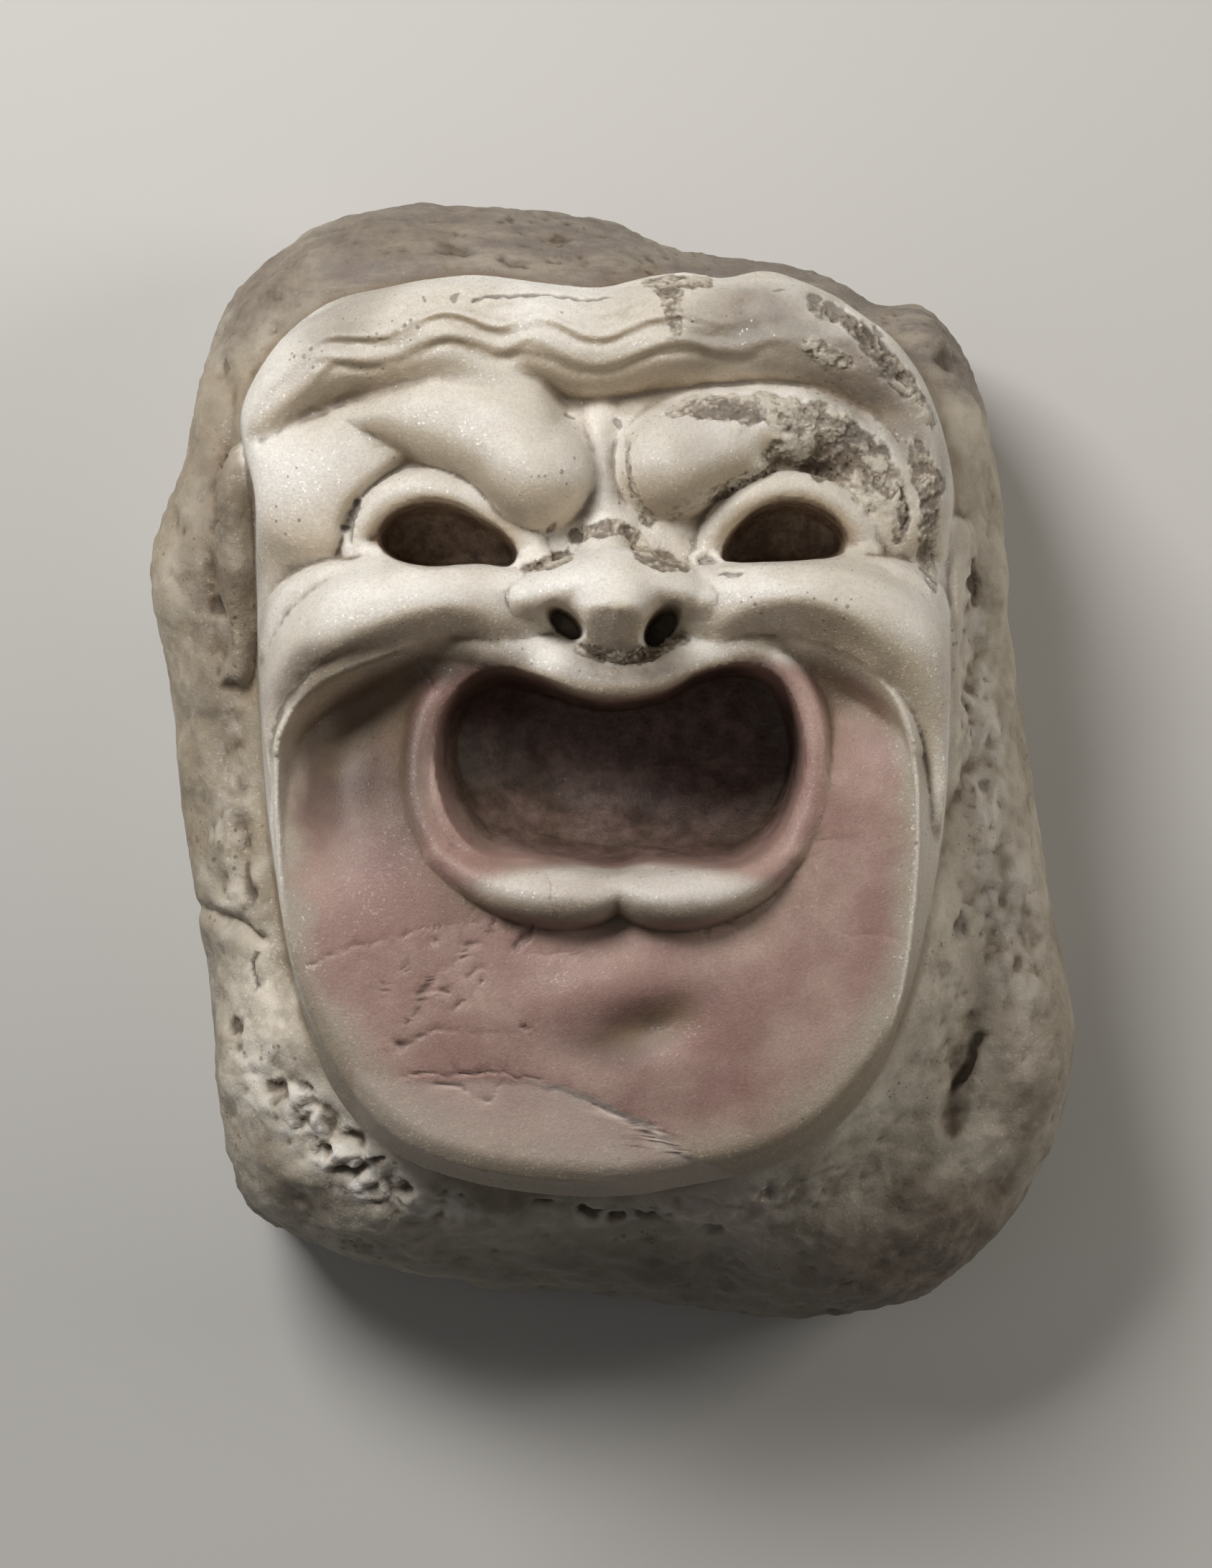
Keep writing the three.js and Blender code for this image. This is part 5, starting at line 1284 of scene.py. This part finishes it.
# Marble proper: white to cream in soft clouds, with a fine crystal grain
clouds = p.noise(60, 5)
colour = p.blend(p.step(clouds, 0.35, 0.68), CREAM, WHITE)
pink_clouds = p.noise(38, 4)
rose = p.blend(p.step(pink_clouds, 0.35, 0.7), PINK, PINK_PALE)
# Painted shade on the surfaces that face downwards
colour = p.blend(p.times(p.share("below"), 0.75), colour, WARM_SHADE, "MULTIPLY")
colour = p.blend(p.times(p.share("khaki"), p.step(clouds, 0.3, 0.7, 0.75, 1.0)), colour, KHAKI)
colour = p.blend(pink, colour, rose)
# Cream along the rim's edge: partly the rim's own colour, partly a painted highlight
colour = p.blend(p.times(p.step(p.share("edge"), 0.3, 1.0), 0.6), colour, CREAM)
grains = p.add("ShaderNodeTexVoronoi", {"Vector": p.place, "Scale": 1000 / 0.8})
grain_colour = p.add("ShaderNodeSeparateColor", {"Color": grains.outputs["Color"]})
lighter = p.step(grain_colour.outputs["Red"], 0.0, 1.0, 0.93, 1.06)
lighter = p.add("ShaderNodeCombineColor", {"Red": lighter, "Green": lighter, "Blue": lighter}).outputs[0]
colour = p.blend(1.0, colour, lighter, "MULTIPLY")

# Rough block
block_clouds = p.noise(30, 7, 0.62)
block_colour = p.blend(p.step(block_clouds, 0.34, 0.62), ROUGH_STONE, ROUGH_PALE)
ochre_share = p.times(ochre, p.step(p.noise(17, 6, 0.65), 0.3, 0.7, 0.35, 1.0))
block_colour = p.blend(ochre_share, block_colour, OCHRE)
strata = p.noise(9, 6, 0.7, (0.25, 1.0, 0.5))
top_colour = p.blend(p.step(strata, 0.4, 0.66), TOP_STONE, ROUGH_STONE)
block_colour = p.blend(top, block_colour, top_colour)
# Paler patches of the block: partly paler stone, partly painted light
pale_and_light_share = p.times(p.share("pale_and_painted_light"), p.step(p.noise(12, 6, 0.68), 0.34, 0.6, 0.3, 1.0))
block_colour = p.blend(pale_and_light_share, block_colour, PALE_STONE_AND_LIGHT)
# Painted shade towards the bottom of the block
bottom_shade_share = p.times(p.share("under"), p.step(clouds, 0.3, 0.7, 0.5, 1.0))
block_colour = p.blend(bottom_shade_share, block_colour, BOTTOM_PAINTED_SHADE)
# White on the peaks of the picked block: partly whiter stone, partly a painted highlight
peak_white_and_highlight_share = p.times(p.share("peak_white_and_highlight"), p.step(grains.outputs["Distance"], 0.2, 0.6, 1.0, 0.7))
block_colour = p.blend(peak_white_and_highlight_share, block_colour, WHITE)
colour = p.blend(stone, colour, block_colour)

# Brown patina where water and soot have settled, mixed with painted shade in the same patches, and a painted
# shadow of the left cheek across the upper left of the funnel
stain_and_shade_share = p.times(p.share("stain_and_painted_shade"), p.step(p.noise(22, 7, 0.68), 0.28, 0.66, 0.86, 1.0))
stain_and_shade_brown = p.blend(p.step(p.noise(9, 6, 0.7), 0.35, 0.68), PATINA_AND_SHADE, PALE_PATINA_AND_SHADE)
colour = p.blend(stain_and_shade_share, colour, p.blend(pink, stain_and_shade_brown, PINK_PATINA_AND_SHADE))

# Crusts on the worn skin
crust_noise = p.noise(5, 6, 0.7)
crumb = p.uneven(p.share("crumb"), crust_noise, 0.9)
crust_colour = p.blend(p.step(crumb, 0.3, 0.72), CRUST, CRUST_PALE)
crust_colour = p.blend(p.times(p.step(crumb, 0.36, 0.16), 0.8), crust_colour, DIRT)
crust_share = p.times(p.step(p.uneven(crust, p.noise(6, 8, 0.75), 1.6), 0.2, 0.8), 0.85)
colour = p.blend(crust_share, colour, crust_colour)

# Stain and painted shade in the hollows, dirt in the narrow ones, specks all over
patch = p.noise(14, 6, 0.65)
stain_and_painted_shade = p.times(p.step(p.uneven(deep, patch, 0.45), 0.47, 0.82), 0.66)
colour = p.blend(stain_and_painted_shade, colour, HOLLOW_STAIN_AND_SHADE)
narrow = p.times(p.step(p.uneven(hollow, patch, 0.5), 0.64, 1.0), 0.5)
colour = p.blend(narrow, colour, DIRT)
# Dark between the picked lumps and in the hollows of the block: partly dirt, partly painted shade
colour = p.blend(p.times(pit, 0.6), colour, DIRT)
crack_colour = p.blend(p.step(pink, 0.2, 0.6), DIRT, CRACK_RED)
colour = p.blend(p.times(p.step(crack, 0.2, 0.9), 0.62), colour, crack_colour)
speck_cells = p.add("ShaderNodeTexVoronoi", {"Vector": p.place, "Scale": 1000 / 4.0})
speck_size = p.sum(p.noise(34, 4, 0.6), 0.47, "SUBTRACT")
speck = p.sum(p.times(speck_size, 1.3), speck_cells.outputs["Distance"], "SUBTRACT")
speck = p.times(p.step(speck, 0.0, 0.05), 0.55, p.sum(1.0, p.times(pink, 0.7), "SUBTRACT"))
colour = p.blend(speck, colour, (0.13, 0.095, 0.06, 1))
colour = p.blend(p.times(fresh, 0.85), colour, FRESH)
eye_colour = p.blend(p.step(p.noise(7, 7, 0.72), 0.38, 0.66), EYE_BROWN, EYE_PALE)
colour = p.blend(p.share("eye"), colour, eye_colour)
# Painted shade and dirt in the mouth: nearly black in mottled patches
wide_mottle = p.step(p.noise(11, 7, 0.7), 0.32, 0.60, 0.66, 1.0)
small_mottle = p.step(p.noise(4, 6, 0.7), 0.35, 0.6, 0.82, 1.0)
mouth_dirt_and_shade = p.times(mouth_dirt_and_shade_share, wide_mottle, small_mottle)
colour = p.blend(mouth_dirt_and_shade, colour, MOUTH_DIRT_AND_SHADE)

# Glints: here and there a crystal grain lies at a slant and shines
slant = p.add("ShaderNodeVectorMath", {0: grains.outputs["Color"], 1: (0.5, 0.5, 0.5)}, operation="SUBTRACT")
glint = p.times(p.step(grain_colour.outputs["Green"], 0.91, 0.94), p.sum(1.0, p.times(pink, 0.6), "SUBTRACT"))
bend = p.sum(p.times(glint, 0.45), 0.06)
bent = p.add("ShaderNodeVectorMath", {0: slant.outputs[0]}, operation="SCALE")
p.feed(bent.inputs["Scale"], bend)
facing = p.add("ShaderNodeNewGeometry", {}).outputs["Normal"]
slanted = p.add("ShaderNodeVectorMath", {0: facing, 1: bent.outputs[0]}, operation="ADD")
slanted = p.add("ShaderNodeVectorMath", {0: slanted.outputs[0]}, operation="NORMALIZE")
roughness_share = p.sum(0.6, p.times(p.sum(stone, crust), 2.2))
fine = p.sum(p.noise(0.9, 3, 0.6), p.times(p.noise(3.2, 5, 0.65), roughness_share))
bump = p.add(
    "ShaderNodeBump", {"Height": fine, "Strength": 0.35, "Distance": 0.0006, "Normal": slanted.outputs[0]}
)
p.feed(p.shader.inputs["Base Color"], colour)
p.feed(p.shader.inputs["Normal"], bump.outputs["Normal"])
rough = p.sum(0.52, p.times(glint, -0.26))
p.feed(p.shader.inputs["Roughness"], p.sum(rough, p.times(p.sum(crust, stone, "MAXIMUM"), 0.12)))
p.shader.inputs["Subsurface Weight"].default_value = 0.22
p.shader.inputs["Subsurface Radius"].default_value = (1.0, 0.72, 0.5)
p.shader.inputs["Subsurface Scale"].default_value = 0.004
p.shader.inputs["Specular IOR Level"].default_value = 0.5
mask.data.materials.append(p.material)

# Floor and lights
floor_mesh = bpy.data.meshes.new("floor")
floor_mesh.from_pydata([(-3, -3, 0), (3, -3, 0), (3, 3, 0), (-3, 3, 0)], [], [(0, 1, 2, 3)])
floor = bpy.data.objects.new("floor", floor_mesh)
floor.location.z = -0.0004
bpy.context.scene.collection.objects.link(floor)
floor_paint = bpy.data.materials.new("pale_floor")
floor_paint.use_nodes = True
floor_shader = floor_paint.node_tree.nodes["Principled BSDF"]
floor_shader.inputs["Base Color"].default_value = (0.60, 0.59, 0.57, 1)
floor_shader.inputs["Roughness"].default_value = 0.85
floor_mesh.materials.append(floor_paint)


def soft_light(name, place, aim, size, power, colour):
    light = bpy.data.lights.new(name, "AREA")
    light.shape = "RECTANGLE"
    light.size, light.size_y = size
    light.energy = power
    light.color = colour
    thing = bpy.data.objects.new(name, light)
    thing.location = place
    towards = thing.location.copy()
    towards.x, towards.y, towards.z = (a - p for a, p in zip(aim, place))
    thing.rotation_mode = "QUATERNION"
    thing.rotation_quaternion = towards.to_track_quat("-Z", "Y")
    bpy.context.scene.collection.objects.link(thing)


# The lights: name, place, what it shines at, size, power, colour
LIGHTS = [
    ("key", (-0.58, 0.82, 1.20), (0, 0.03, 0.15), (0.60, 0.45), 19.5, (1.0, 0.985, 0.96)),
    ("fill", (-0.7, -0.2, 1.7), (0, 0, 0.1), (1.0, 1.0), 1.6, (1.0, 0.98, 0.96)),
    ("side", (1.2, 0.35, 0.8), (0, 0, 0.1), (0.5, 0.7), 6.2, (1.0, 0.95, 0.87)),
]
for light_row in LIGHTS:
    soft_light(*light_row)

world = bpy.data.worlds.new("room")
world.use_nodes = True
world.node_tree.nodes["Background"].inputs["Color"].default_value = (1.0, 0.98, 0.95, 1)
world.node_tree.nodes["Background"].inputs["Strength"].default_value = 0.05
bpy.context.scene.world = world
bpy.context.scene.view_settings.view_transform = "Standard"
